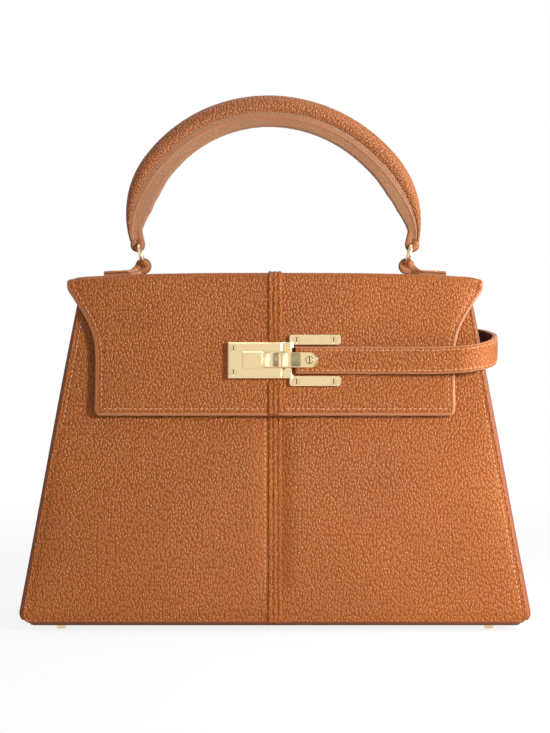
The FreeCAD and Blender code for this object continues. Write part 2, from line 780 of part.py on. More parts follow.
def lock_plate():
    body = lock_sheet(size.lock_thick)
    round_edges(body, size.lock_bevel, edge_at(z=size.lock_thick), "PartDesign::Chamfer")
    half_window = size.button_tall / 2 + size.button_play
    window_left = -size.button_left - size.button_play
    window = box((window_left, -half_window, 0), (window_right, half_window, size.lock_thick))
    half_cavity = half_window + size.button_flange
    cavity_top = size.lock_thick - size.lock_face_wall
    cavity = box((window_left - size.button_flange, -half_cavity, 0), (window_right, half_cavity, cavity_top))
    half_channel = size.tongue_tall / 2 + size.tongue_play
    channel = box((window_right, -half_channel, size.lock_thick - size.channel_deep),
                  (size.lock_right, half_channel, size.lock_thick))
    plate = cut(cut(cut(body, window), cavity), channel)
    for y in lock_screw_ys:
        hole = screw_hole(size.lock_thick)
        move_to(hole, lock_screw_x, y, size.lock_thick)
        plate = cut(plate, hole)
    return keep("lock_plate", on_front(plate, 0, lock_slope, plate_back))


flange_top = plate_face - size.lock_face_wall - size.hole_play
flange_under = flange_top - size.flange_thick


def button_outline(sketch, overhang):
    half = size.button_tall / 2 + overhang
    draw_polygon(sketch, [(-size.button_left - overhang, -half), (-size.button_right, -half),
                          (-size.button_right, half), (-size.button_left - overhang, half)])


def lock_button():
    body = new_body("lock_button")
    flange = new_sketch(body, "XY_Plane")
    button_outline(flange, size.button_flange)
    pad(body, flange, size.flange_thick)
    block = new_sketch(body, "XY_Plane")
    button_outline(block, as_size(0))
    tall = plate_face + size.button_proud - flange_under
    pad(body, block, tall)
    round_edges(body, size.button_proud, edge_at(z=tall), "PartDesign::Chamfer")
    return keep("lock_button", on_front(body, 0, lock_slope, flange_under))


def button_spring():
    """An arched leaf between the lock's base and the button."""
    body = new_body("button_spring")
    sketch = new_sketch(body, "XZ_Plane")
    left = -size.button_left
    right = -size.button_right
    quarter = (right - left) / 4
    high = flange_under - plate_back - size.hole_play
    thick = size.spring_thick
    draw_polygon(sketch, [(left, 0), (left + quarter, 0), (left + quarter * 1.5, high - thick),
                          (right - quarter * 1.5, high - thick), (right - quarter, 0), (right, 0),
                          (right, thick), (right - quarter + thick, thick),
                          (right - quarter * 1.5 + thick, high), (left + quarter * 1.5 - thick, high),
                          (left + quarter - thick, thick), (left, thick)])
    pad(body, sketch, size.button_tall / 2, both_ways=True)
    return keep("button_spring", on_front(body, 0, lock_slope, plate_back))


lock_base()
lock_plate()
lock_button()
button_spring()
lock_shank = size.lock_thick + size.lock_base_thick + size.lock_seat + size.leather - size.stack_gap
lock_screw_places = [(lock_screw_x, lock_slope + y) for y in lock_screw_ys]
group("lock_screws", [on_front(screw(lock_shank), x, y, plate_face) for x, y in lock_screw_places])

# Strap guide: a web beside the lock with two arms that keep the strap's end level

guide_left = size.lock_right + size.stack_gap
guide_right = size.lock_right + size.web_width
arm_inner = size.strap_width / 2 + size.arm_gap
arm_outer = arm_inner + size.arm_tall
guide_places = [(x, lock_slope + sign * (arm_inner + size.arm_tall / 2))
                for x in (size.arm_start + size.guide_screw_in, size.arm_end - size.guide_screw_in)
                for sign in (-1, 1)]


def strap_guide():
    body = new_body("strap_guide")
    half = size.lock_tall / 2
    start = size.arm_start
    end = size.arm_end
    sketch = new_sketch(body, "XY_Plane")
    draw_polygon(sketch, [(guide_left, -half), (start, -half), (start, -arm_outer), (end, -arm_outer),
                          (end, -arm_inner), (guide_right, -arm_inner), (guide_right, arm_inner),
                          (end, arm_inner), (end, arm_outer), (start, arm_outer), (start, half),
                          (guide_left, half)])
    pad(body, sketch, size.arm_thick)
    corners = [edge_at(x=end, y=sign * y) for sign in (-1, 1) for y in (arm_inner, arm_outer)]
    corners += [edge_at(x=start, y=sign * arm_outer) for sign in (-1, 1)]
    round_edges(body, size.arm_round, any_of(*corners))
    web = new_sketch(body, "XY_Plane")
    draw_polygon(web, [(guide_left, -half), (guide_right, -half), (guide_right, half), (guide_left, half)])
    pad(body, web, size.web_height)
    crest = any_of(edge_at(x=guide_left, z=size.web_height), edge_at(x=guide_right, z=size.web_height))
    round_edges(body, size.web_bevel, crest, "PartDesign::Chamfer")
    guide = body
    for x, y in guide_places:
        hole = screw_hole(size.arm_thick)
        move_to(hole, x, y - lock_slope, size.arm_thick)
        guide = cut(guide, hole)
    return keep("strap_guide", on_front(guide, 0, lock_slope, metal_seat))


strap_guide()
guide_shank = size.arm_thick + size.lock_seat + size.leather - size.stack_gap
guide_face = metal_seat + size.arm_thick
group("guide_screws", [on_front(screw(guide_shank), x, y, guide_face) for x, y in guide_places])

# Handle tabs: leather strips on the flap's top, rolled into a loop for each ring

tab_rivet_x = tab_end - size.rivet_inset


def handle_tab(label, sign):
    body = new_body(label)
    loop_x = ring_place - size.loop_shift
    sketch = new_sketch(body, "XZ_Plane")
    draw_circle(sketch, sign * loop_x, lower_loop_z, size.loop_radius)
    pad(body, sketch, size.loop_width, both_ways=True)
    strip = new_sketch(body, "XZ_Plane")
    low = flap_top + size.hole_play
    draw_polygon(strip, [(sign * loop_x, low), (sign * tab_end, low),
                         (sign * tab_end, low + size.tab_thick), (sign * loop_x, low + size.tab_thick)])
    pad(body, strip, size.tab_width, both_ways=True)
    bore = new_sketch(body, "XZ_Plane")
    draw_circle(bore, sign * loop_x, lower_loop_z + hole_offset, size.loop_hole)
    cut_through(body, bore)
    hole = plain_hole(size.rivet_shank, 2 * size.tab_thick)
    move_to(hole, sign * tab_rivet_x, 0, low - size.tab_thick / 2)
    return keep(label, cut(body, hole))


tab_face = flap_top + size.hole_play + size.tab_thick
tab_rivets = []
for side, sign in (("left", -1), ("right", 1)):
    handle_tab(f"handle_tab_{side}", sign)
    pin = rivet(size.rivet_radius, size.rivet_head, size.rivet_shank,
                size.tab_thick + size.leather - size.stack_gap)
    move_to(pin, sign * tab_rivet_x, 0, tab_face)
    tab_rivets.append(pin)
    hole = plain_hole(size.rivet_shank, 2 * size.leather)
    move_to(hole, sign * tab_rivet_x, 0, flap_core - size.leather / 2)
    half = cut(flap_halves[side], hole)
    places = lock_screw_places if side == "left" else guide_places
    for x, y in places:
        drill = plain_hole(size.screw_shank, 2 * size.leather)
        half = cut(half, on_front(drill, x, y, flap_inner - size.leather / 2))
    keep(f"flap_{side}", half)
group("tab_rivets", tab_rivets)

# Handle: a rolled arch with a flat strip along its inside, loops and two metal rings

def arch_points(depth):
    """Right end, right joint and top of the arch, a depth in from its outer edge."""
    side_radius = size.handle_side_radius.value
    side_x = size.handle_half_span.value - side_radius
    side_z = (flap_top + size.handle_spring).value
    rise = handle_top.value - side_z
    top_radius = (side_x ** 2 + rise ** 2 - side_radius ** 2) / (2 * (rise - side_radius))
    top_z = handle_top.value - top_radius
    joint_angle = math.atan2(side_z - top_z, side_x)
    end_z = (upper_loop_z + size.loop_radius + size.handle_clear).value
    roll = size.handle_roll.value
    end_angle = math.asin((end_z - side_z) / (side_radius - roll))
    return side_x, side_z, side_radius - depth, end_angle, joint_angle, handle_top.value - depth


def arch_place(side_x, side_z, radius, angle, sign):
    return FreeCAD.Vector(sign * (side_x + radius * math.cos(angle)), 0, side_z + radius * math.sin(angle))


def arch_solid(depth_end, depth_mid, section_end, section_mid):
    """A tapering side on the left and right and an even run over the top, joined."""
    side_x, side_z, radius, end_angle, joint_angle, top = arch_points(depth_mid)
    end_radius = size.handle_side_radius.value - depth_end
    pieces = []
    for sign in (-1, 1):
        steps = []
        for share in (0, 0.25, 0.5, 0.75, 1):
            angle = end_angle + (joint_angle - end_angle) * share
            bend = end_radius + (radius - end_radius) * share
            place = arch_place(side_x, side_z, bend, angle, sign)
            along = FreeCAD.Vector(-sign * math.sin(angle), 0, math.cos(angle))
            steps.append(section_of(section_end, section_mid, share, place, along))
        pieces.append(Part.makeLoft(steps, True))
    joints = [arch_place(side_x, side_z, radius, joint_angle, sign) for sign in (-1, 1)]
    over = Part.Arc(joints[0], FreeCAD.Vector(0, 0, top), joints[1]).toShape()
    start_along = FreeCAD.Vector(math.sin(joint_angle), 0, math.cos(joint_angle))
    start = section_of(section_end, section_mid, 1, joints[0], start_along)
    pieces.append(Part.Wire([over]).makePipeShell([start], True, False))
    return pieces[2].fuse(pieces[:2]).removeSplitter()


def section_of(section_end, section_mid, share, place, along):
    """A round section from one radius, or a flat one from a depth and a width."""
    numbers = [end + (mid - end) * share for end, mid in zip(section_end, section_mid)]
    if len(numbers) == 1:
        return Part.Wire([Part.makeCircle(numbers[0], place, along)])
    deep, wide = numbers
    across = FreeCAD.Vector(0, 1, 0)
    inward = along.cross(across)
    corners = [place + inward * (deep / 2 * a) + across * (wide / 2 * b)
               for a, b in ((-1, -1), (1, -1), (1, 1), (-1, 1))]
    return Part.makePolygon(corners + corners[:1])


roll_mid = size.handle_roll.value
roll_end = size.handle_end_roll.value
wrap_thick = size.handle_wrap_thick.value
core_play = size.stack_gap.value
roll = arch_solid(roll_mid, roll_mid, (roll_end,), (roll_mid,))
bore = arch_solid(roll_mid, roll_mid, (roll_end - wrap_thick,), (roll_mid - wrap_thick,))
core_end = roll_end - wrap_thick - core_play
core_mid = roll_mid - wrap_thick - core_play
core = arch_solid(roll_mid, roll_mid, (core_end,), (core_mid,))
solid("handle_wrap", roll.cut(bore))
solid("handle_core", core)
strip_mid = size.handle_strip_deep.value
strip_end = size.handle_strip_end.value
strip_wide = size.handle_strip_wide.value
strip_at_end = roll_mid + roll_end + core_play + strip_end / 2
strip_at_mid = 2 * roll_mid + core_play + strip_mid / 2
strip_end_wide = 2 * roll_end - wrap_thick
strip = arch_solid(strip_at_end, strip_at_mid, (strip_end, strip_end_wide), (strip_mid, strip_wide))
solid("handle_inner_strip", strip)


def handle_loop(label, sign):
    body = new_body(label)
    loop_x = ring_place + size.loop_shift
    sketch = new_sketch(body, "XZ_Plane")
    draw_circle(sketch, sign * loop_x, upper_loop_z, size.loop_radius)
    pad(body, sketch, size.loop_width, both_ways=True)
    bore = new_sketch(body, "XZ_Plane")
    draw_circle(bore, sign * loop_x, upper_loop_z - hole_offset, size.loop_hole)
    cut_through(body, bore)
    return keep(label, body)


def ring(label, sign):
    thing = doc.addObject("Part::Torus", label)
    bind(thing, "Radius1", size.ring_radius)
    bind(thing, "Radius2", size.ring_wire)
    thing.Placement = FreeCAD.Placement(
        FreeCAD.Vector(), FreeCAD.Rotation(FreeCAD.Vector(0, 1, 0), 90))
    move_to(thing, sign * ring_place, 0, ring_height)
    return keep(label, thing)


for side, sign in (("left", -1), ("right", 1)):
    handle_loop(f"handle_loop_{side}", sign)
    ring(f"ring_{side}", sign)

# Strap: sewn to the back, bent round the right side and over the flap to the lock

strap_in_x = half_width_at(lock_height) + size.strap_side_gap
strap_back_y = -front_y(lock_height + size.strap_rise, as_size(0)) + size.lock_seat
swing_x = strap_in_x + strap_thick + size.stack_gap
root_x = strap_in_x - size.strap_back_bend - size.strap_root_length
swing_y = strap_back_y + size.strap_back_stand - size.strap_back_bend


def strap_section(x, y, angle, lean, height, near, far):
    """A section across the strap; the angle is the way that its outer face looks."""
    outwards = FreeCAD.Vector(math.cos(angle), math.sin(angle), 0)
    upwards = FreeCAD.Vector(0, 0, 1)
    wide = upwards * math.cos(lean) - outwards * math.sin(lean)
    face = outwards * math.cos(lean) + upwards * math.sin(lean)
    middle = FreeCAD.Vector(x, y, height)
    half = size.strap_width.value / 2
    corners = [middle + face * depth + wide * (half * sign)
               for depth, sign in ((near, -1), (far, -1), (far, 1), (near, 1))]
    return Part.makePolygon(corners + corners[:1])


def swing_route():
    """Places of the moving strap's inner face: x, y, facing angle, lean and height."""
    full_lean = math.radians(lean_angle.value)
    low = (lock_height + (flap_outer + size.strap_seat) * lean_sin).value
    end_x = size.strap_end.value
    end_y = front_y(as_size(low), flap_outer + size.strap_seat).value
    edge_y = front_y(as_size(low), flap_outer + size.strap_stand).value
    kink_x = size.arm_end.value
    slant = (edge_y - end_y) / (size.flap_width.value / 2 - kink_x)
    bend = size.strap_front_bend.value
    centre_x = strap_in_x.value - bend
    centre_y = end_y + slant * (centre_x - kink_x) + bend * math.hypot(1, slant)
    last_angle = -math.pi / 2 + math.atan(slant)
    steps = round(size.strap_bend_steps.value)
    rise = size.strap_rise.value
    route = [(strap_in_x.value, swing_y.value, 0.0, 0.0, low + rise)]
    for step in range(steps + 1):
        share = step / steps
        angle = last_angle * share
        route.append((centre_x + bend * math.cos(angle), centre_y + bend * math.sin(angle), angle,
                      full_lean * share, low + rise * (1 - share) / 2))
    route.append((kink_x, end_y, (last_angle - math.pi / 2) / 2, full_lean, low))
    route.append((end_x, end_y, -math.pi / 2, full_lean, low))
    return route


def root_route():
    """Places of the sewn end's inner face, from the swing line round to the back."""
    full_lean = math.radians(lean_angle.value)
    high = (lock_height + size.strap_rise).value
    bend = size.strap_back_bend.value
    steps = round(size.strap_bend_steps.value)
    slope = size.strap_back_stand.value / (size.strap_root_length - size.strap_pad).value
    last_angle = math.pi / 2 + math.atan(slope)
    route = []
    for step in range(steps + 1):
        share = step / steps
        angle = last_angle * share
        y = swing_y.value + bend * math.sin(angle)
        if step == 0:
            y += size.fold_play.value
        x = strap_in_x.value - bend * (1 - math.cos(angle))
        route.append((x, y, angle, full_lean * share, high))
    pad_x = (root_x + size.strap_pad).value
    pad_y = strap_back_y.value
    route.append((pad_x, pad_y, (last_angle + math.pi / 2) / 2, full_lean, high))
    route.append((root_x.value, pad_y, math.pi / 2, full_lean, high))
    return route


def ribbon(route, near, far):
    return Part.makeLoft([strap_section(*place, near, far) for place in route], True, True)


def drilled(shape, radius, across, up, outward, depth, lay):
    """A shape with a hole square to the front or back."""
    bit = Part.makeCylinder(radius, depth)
    return shape.cut(bit.transformed(lay_matrix(across, up, outward, lay)))


def lay_matrix(across, up, outward, lay):
    marker = cylinder(size.rivet_shank, size.rivet_head)
    lay(marker, across, up, outward)
    doc.recompute()
    matrix = marker.Placement.toMatrix()
    doc.removeObject(marker.Name)
    return matrix


strap_shank_hole = (size.tongue_shank + size.hole_play).value
lining_thick = size.strap_lining_thick.value
whole_thick = strap_thick.value
for label, near, far in (("strap_lining", 0.0, lining_thick), ("strap_leather", lining_thick, whole_thick)):
    piece = ribbon(swing_route(), near, far)
    solid(label, drilled(piece, strap_shank_hole, size.tongue_screw_place, lock_slope,
                         flap_outer, 2 * whole_thick, on_front))

root_slope = (lock_height + size.strap_rise - panel_foot) / lean_cos
rivet_pitch = size.strap_width / 2
root_rivet_places = [(root_x + size.rivet_inset, root_slope + sign * rivet_pitch / 2) for sign in (-1, 1)]
root_shape = ribbon(root_route(), 0.0, whole_thick)
root_face = size.lock_seat + strap_thick
rivet_hole = (size.rivet_shank + size.hole_play).value
root_rivets = []
for x, y in root_rivet_places:
    root_shape = drilled(root_shape, rivet_hole, x, y, 2 * root_face, 4 * whole_thick, on_back)
    pin = rivet(size.rivet_radius, size.rivet_head, size.rivet_shank,
                root_face + size.leather - size.stack_gap)
    turned = doc.addObject("Part::Compound", "Turned")
    turned.Links = [pin]
    pin.Placement = FreeCAD.Placement(FreeCAD.Vector(), FreeCAD.Rotation(TURN_X, 180))
    root_rivets.append(on_back(turned, x, y, root_face + size.hole_play))
solid("strap_root", root_shape)
group("strap_root_rivets", root_rivets)
back_right = finished["back_panel_right"]
for x, y in root_rivet_places:
    hole = plain_hole(size.rivet_shank, 2 * size.leather)
    back_right = cut(back_right, on_back(hole, x, y, size.leather / 2))
back_leather = finished["back_panel_right"]
back_leather.Label = "back_panel_right_leather"
keep("back_panel_right", back_right)

# Tongue: lies over the strap's end and the web, with its tail in the lock's channel

def tongue():
    body = new_body("tongue")
    thick = size.tongue_thick
    ramp = size.tongue_ramp
    crest_under = metal_seat + size.web_height + size.tongue_play
    tail_under = plate_face - thick
    up_start = size.lock_right - size.tongue_play - ramp
    up_end = size.lock_right - size.tongue_play
    down_start = guide_right + size.tongue_play
    down_end = down_start + ramp / 2
    sketch = new_sketch(body, "XZ_Plane")
    draw_polygon(sketch, [(-size.tongue_tail, tail_under), (up_start, tail_under), (up_end, crest_under),
                          (down_start, crest_under), (down_end, tongue_under),
                          (size.tongue_tip, tongue_under), (size.tongue_tip, tongue_under + thick),
                          (down_end + ramp / 4, tongue_under + thick),
                          (down_start + ramp / 4, crest_under + thick),
                          (up_end - ramp / 4, crest_under + thick), (up_start - ramp / 4, plate_face),
                          (-size.tongue_tail, plate_face)])
    pad(body, sketch, size.tongue_tall, both_ways=True)
    ends = [edge_at(x=size.tongue_tip, y=sign * size.tongue_tall / 2) for sign in (-1, 1)]
    round_edges(body, size.tongue_round, any_of(*ends))
    hole = cylinder(size.tongue_shank + size.hole_play, 2 * thick, tongue_under - thick / 2,
                    size.tongue_screw_place)
    return keep("tongue", on_front(cut(body, hole), 0, lock_slope, 0))


def tongue_screw():
    face = tongue_under + size.tongue_thick
    length = face - flap_outer - size.strap_seat - size.stack_gap
    pin = rivet(size.tongue_screw_radius, size.tongue_screw_head, size.tongue_shank, length)
    slot = box((-size.screw_slot / 2, -size.tongue_screw_radius, size.tongue_screw_head / 2),
               (size.screw_slot / 2, size.tongue_screw_radius, 2 * size.tongue_screw_head))
    return keep("tongue_screw", on_front(cut(pin, slot), size.tongue_screw_place, lock_slope, face))


tongue()
tongue_screw()

# Check and write

doc.recompute()
for thing in doc.Objects:
    if "Invalid" in thing.State or "Error" in thing.State:
        raise RuntimeError(f"{thing.Label} failed: {thing.State}")
for label, thing in finished.items():
    if thing.Shape.isNull() or not thing.Shape.isValid() or not thing.Shape.Solids:
        raise RuntimeError(f"{label} has no valid shape")

os.makedirs("parts", exist_ok=True)
for label, thing in finished.items():
    thing.Shape.exportStep(os.path.join("parts", f"{label}.step"))
print(len(finished), "pieces written")
print("flap turns at y, z:", round(hinge_y.value, 3), round(hinge_z.value, 3))
print("handle turns at z:", round(ring_height.value, 3))
print("strap swings at x, y:", round(swing_x.value, 3), round(swing_y.value, 3))
print("front leans by", round(lean_angle.value, 3), "degrees")
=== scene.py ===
# %% [markdown]
# A top handle bag in pebbled leather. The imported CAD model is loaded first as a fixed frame: it says where
# each piece sits and which body it moves with. Most of the metal keeps its CAD mesh and only gets a finish.
# Everything made of leather is built again here as a soft sheet with round, painted edges, because a CAD
# plate has neither.

# %% Load the frame
import json
import math
import bpy
import bmesh
import numpy as np
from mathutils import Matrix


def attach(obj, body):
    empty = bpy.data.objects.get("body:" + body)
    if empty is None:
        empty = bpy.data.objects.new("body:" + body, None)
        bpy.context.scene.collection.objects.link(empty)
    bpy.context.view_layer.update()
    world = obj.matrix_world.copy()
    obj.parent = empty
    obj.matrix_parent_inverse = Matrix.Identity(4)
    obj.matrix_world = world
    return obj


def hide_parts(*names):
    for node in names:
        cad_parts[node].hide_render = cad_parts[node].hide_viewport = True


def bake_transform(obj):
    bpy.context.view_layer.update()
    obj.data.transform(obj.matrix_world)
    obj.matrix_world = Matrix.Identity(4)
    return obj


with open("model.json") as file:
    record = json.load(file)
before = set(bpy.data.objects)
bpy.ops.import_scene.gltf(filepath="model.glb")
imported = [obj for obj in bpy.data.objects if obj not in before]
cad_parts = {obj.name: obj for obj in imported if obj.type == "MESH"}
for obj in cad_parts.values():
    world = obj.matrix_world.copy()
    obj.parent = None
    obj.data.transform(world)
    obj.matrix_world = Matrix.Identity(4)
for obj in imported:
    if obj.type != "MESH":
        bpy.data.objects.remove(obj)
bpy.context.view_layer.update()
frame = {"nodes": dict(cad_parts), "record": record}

# %% [markdown]
# Sizes are kept in millimetres, as a bag maker would write them, and turned into metres only when a mesh is
# made. The front and back lean towards each other and the sides taper, so two small functions give the y of
# the front and the half width of the bag at any height. PANEL_Z and PANEL_FOOT are the heights at which the
# bag has its full width and its full depth.

# %% Sizes of the bag
MM = 0.001
BASE_HALF = 166.0
BASE_DEPTH_HALF = 65.0
PANEL_Z = 6.5
PANEL_LOW = 4.9
PANEL_FOOT = 6.826
MOUTH_Z = 226.826
LEAN = 0.15
LEAN_COS = 1 / math.hypot(1, LEAN)
LEAN_SIN = LEAN * LEAN_COS
SIDE_TAPER = 0.175
LEATHER = 2.2
SEAM_RIM = 7.0
SIDE_IN = 1.5
LOCK_Z = 173.026
SIDES = (("left", -1), ("right", 1))


def front_y(z, outward=0.0):
    return -BASE_DEPTH_HALF + (z - PANEL_FOOT) * LEAN - outward / LEAN_COS


def half_width(z):
    return BASE_HALF - (z - PANEL_Z) * SIDE_TAPER


def ease(value, low, high):
    """0 below low, 1 above high, and a smooth step between them."""
    share = np.clip((value - low) / (high - low), 0, 1)
    return share * share * (3 - 2 * share)


print("half width at the mouth:", round(half_width(MOUTH_Z), 1), "mm")

# %% [markdown]
# A leather sheet could be a plane with a Solidify modifier, but its edge would then be square. Here a grid
# of points is the middle of the sheet, and the two faces are set off from it by a half thickness that falls
# to nothing along a quarter circle at the edge. Two point attributes go with it: "grain", the place on the
# flat hide, which the grain pattern follows, and "edge", the distance from the cut edge, which the edge
# paint follows.

# %% Sheets with round edges
def finish_piece(name, points, faces, grain, edge, material):
    mesh = bpy.data.meshes.new(name)
    mesh.from_pydata((np.asarray(points) * MM).tolist(), [], faces)
    mesh.attributes.new("grain", "FLOAT_VECTOR", "POINT")
    mesh.attributes.new("edge", "FLOAT", "POINT")
    mesh.attributes["grain"].data.foreach_set("vector", np.asarray(grain, np.float32).ravel())
    mesh.attributes["edge"].data.foreach_set("value", np.asarray(edge, np.float32).ravel())
    mesh.polygons.foreach_set("use_smooth", [True] * len(mesh.polygons))
    mesh.materials.append(material)
    piece = bpy.data.objects.new(name, mesh)
    bpy.context.scene.collection.objects.link(piece)
    return piece


def grid_normals(middle):
    normal = np.cross(np.gradient(middle, axis=0), np.gradient(middle, axis=1))
    return normal / np.maximum(np.linalg.norm(normal, axis=2, keepdims=True), 1e-9)


def rim_faces(top, low):
    """Faces that close a sheet where its two faces do not already share their edge points."""
    rows, columns = top.shape
    runs = [[(i + 1, 0, i, 0) for i in range(rows - 1)],
            [(i, columns - 1, i + 1, columns - 1) for i in range(rows - 1)],
            [(0, j, 0, j + 1) for j in range(columns - 1)],
            [(rows - 1, j + 1, rows - 1, j) for j in range(columns - 1)]]
    faces = []
    for a, b, c, d in (step for run in runs for step in run):
        ring = [top[a, b], top[c, d], low[c, d], low[a, b]]
        ring = [spot for k, spot in enumerate(ring) if spot != ring[k - 1]]
        if len(ring) > 2:
            faces.append(ring)
    return faces


def sheet_piece(name, middle, thick, edge, grain, facing, material):
    normal = grid_normals(middle)
    if normal[1, middle.shape[1] // 2] @ np.array(facing, float) < 0:
        middle, edge, grain = middle.transpose(1, 0, 2), edge.T, grain.transpose(1, 0, 2)
        normal = -normal.transpose(1, 0, 2)
    swell = thick / 2 * np.sqrt(1 - (1 - np.clip(2 * edge / thick, 0, 1)) ** 2)
    rows, columns = edge.shape
    top = np.arange(rows * columns).reshape(rows, columns)
    low = np.where(swell < 1e-6, top, top + rows * columns)
    points = np.concatenate([(middle + normal * swell[..., None]).reshape(-1, 3),
                             (middle - normal * swell[..., None]).reshape(-1, 3)])
    faces = []
    for i in range(rows - 1):
        for j in range(columns - 1):
            corners = [(i, j), (i + 1, j), (i + 1, j + 1), (i, j + 1)]
            faces.append([top[c] for c in corners])
            faces.append([low[c] for c in reversed(corners)])
    faces += rim_faces(top, low)
    used = np.unique(np.concatenate([np.array(face) for face in faces]))
    place = np.full(len(points), -1)
    place[used] = np.arange(len(used))
    faces = [[int(place[spot]) for spot in face] for face in faces]
    both = np.concatenate([grain.reshape(-1, 2), grain.reshape(-1, 2)])[used]
    both = np.column_stack([both * MM, np.zeros(len(both))])
    return finish_piece(name, points[used], faces, both, np.tile(edge.ravel(), 2)[used], material)


print("sheet maker ready")

# %% [markdown]
# Long narrow pieces, such as the handle, the strap and the welts, are swept instead: a closed ring of
# points is set at each step of a path and the rings are joined. Both ends close in a fan of triangles. The
# ring starts at its hidden side, so that the one place where the grain cannot meet itself is out of sight.

# %% Swept pieces
def swept_piece(name, rings, edge, grain, material):
    steps, around = rings.shape[:2]
    spots = np.arange(steps * around).reshape(steps, around)
    faces = []
    for i in range(steps - 1):
        for j in range(around):
            k = (j + 1) % around
            faces.append([int(spots[i, j]), int(spots[i, k]), int(spots[i + 1, k]), int(spots[i + 1, j])])
    points = [rings.reshape(-1, 3), rings[0].mean(0)[None], rings[-1].mean(0)[None]]
    for j in range(around):
        k = (j + 1) % around
        faces.append([int(spots[0, k]), int(spots[0, j]), steps * around])
        faces.append([int(spots[-1, j]), int(spots[-1, k]), steps * around + 1])
    flat = np.concatenate([grain.reshape(-1, 2), grain[0].mean(0)[None], grain[-1].mean(0)[None]])
    flat = np.column_stack([flat * MM, np.zeros(len(flat))])
    edges = np.concatenate([edge.ravel(), [0.0, 0.0]])
    piece = finish_piece(name, np.concatenate(points), faces, flat, edges, material)
    turn_outwards(piece)
    return piece


def turn_outwards(piece):
    shape = bmesh.new()
    shape.from_mesh(piece.data)
    bmesh.ops.recalc_face_normals(shape, faces=shape.faces)
    shape.to_mesh(piece.data)
    shape.free()


def flat_grid(along, across):
    """A place on the flat hide for each point of a sweep, along it and across it."""
    return np.stack(np.meshgrid(along, across, indexing="ij"), axis=2)


print("sweep maker ready")

# %% [markdown]
# The paths of those sweeps are drawn as a leather worker would mark them: straight runs with a round bend
# at each corner. Sizes that change along a path are given as short tables, read in between by straight
# lines, and where that would leave a visible kink they are averaged over a small window.

# %% Lines and tables
ARC_STEPS = 24


def line_length(points):
    return np.concatenate([[0], np.cumsum(np.linalg.norm(np.diff(points, axis=0), axis=1))])


def even_line(points, spacing):
    gone = line_length(points)
    stops = np.linspace(0, gone[-1], max(2, int(round(gone[-1] / spacing)) + 1))
    return np.column_stack([np.interp(stops, gone, points[:, k]) for k in range(points.shape[1])])


def rounded_path(corners, radii, spacing):
    """A line through flat corners with an arc of a given radius at each inner corner."""
    corners = [np.array(c, float) for c in corners]
    points = [corners[0]]
    for k in range(1, len(corners) - 1):
        into = corners[k] - corners[k - 1]
        out = corners[k + 1] - corners[k]
        into, out = into / np.linalg.norm(into), out / np.linalg.norm(out)
        turn = math.atan2(into[0] * out[1] - into[1] * out[0], into @ out)
        reach = radii[k - 1] * math.tan(abs(turn) / 2)
        side = np.array([-into[1], into[0]]) * math.copysign(1, turn)
        centre = corners[k] - into * reach + side * radii[k - 1]
        for share in np.linspace(0, 1, ARC_STEPS):
            angle = abs(turn) * share
            points.append(centre + radii[k - 1] * (into * math.sin(angle) - side * math.cos(angle)))
    points.append(corners[-1])
    return even_line(np.array(points), spacing)


def table_value(table, places):
    """Reads a table of (place, value) rows at other places."""
    return np.interp(places, *np.array(table, float).T)


def smoothed(values, width):
    """Values averaged over a soft window of an odd width."""
    window = np.hanning(width) / np.hanning(width).sum()
    return np.convolve(np.pad(values, width // 2, mode="edge"), window, mode="valid")


print("line maker ready")

# %% [markdown]
# Every finish is a small tree of shader nodes. Writing out each node and link would fill pages, so a few
# helpers add a node with its inputs set, a sum, a colour ramp or a mix of two colours, and give back the
# output.

# %% Shader node helpers
def node_of(tree, kind, **inputs):
    node = tree.nodes.new(kind)
    for name, value in inputs.items():
        node.inputs[name.replace("_", " ")].default_value = value
    return node


def new_finish(name):
    material = bpy.data.materials.new(name)
    material.use_nodes = True
    shader = material.node_tree.nodes["Principled BSDF"]
    return material, material.node_tree, shader


def math_node(tree, operation, first, second):
    node = tree.nodes.new("ShaderNodeMath")
    node.operation = operation
    for socket, value in zip(node.inputs, (first, second)):
        if isinstance(value, (int, float)):
            socket.default_value = value
        else:
            tree.links.new(value, socket)
    return node.outputs[0]


def ramp_node(tree, value, stops):
    node = tree.nodes.new("ShaderNodeValToRGB")
    while len(node.color_ramp.elements) < len(stops):
        node.color_ramp.elements.new(0.5)
    for element, (place, colour) in zip(node.color_ramp.elements, stops):
        element.position = place
        element.color = (*colour, 1)
    tree.links.new(value, node.inputs[0])
    return node.outputs[0]


def mix_colours(tree, kind, share, first, second):
    node = tree.nodes.new("ShaderNodeMix")
    node.data_type = "RGBA"
    node.blend_type = kind
    for socket, value in ((node.inputs[0], share), (node.inputs[6], first), (node.inputs[7], second)):
        if isinstance(value, float):
            socket.default_value = value
        elif isinstance(value, tuple):
            socket.default_value = (*value, 1)
        else:
            tree.links.new(value, socket)
    return node.outputs[2]


print("node helpers ready")

# %% [markdown]
# Pebbled leather is the main finish. Its pebbles are flat Voronoi cells on the hide, about 1.5 mm across
# and drawn out to 2.3 mm along the bag's height. An image of leather would repeat, and these cells never
# do. Each one is a dome with a narrow crease round it, and a fine skin lies over both.

# %% Pebble pattern
PEBBLES_PER_METRE = 680.0
PEBBLE_DEPTH = 0.00056
PEBBLE_SQUEEZE = 0.64
PEBBLE_DRIFT = 0.001
DOME_SHARE = 0.74
CREASE_SHARE = 0.18
SKIN_SHARE = 0.12


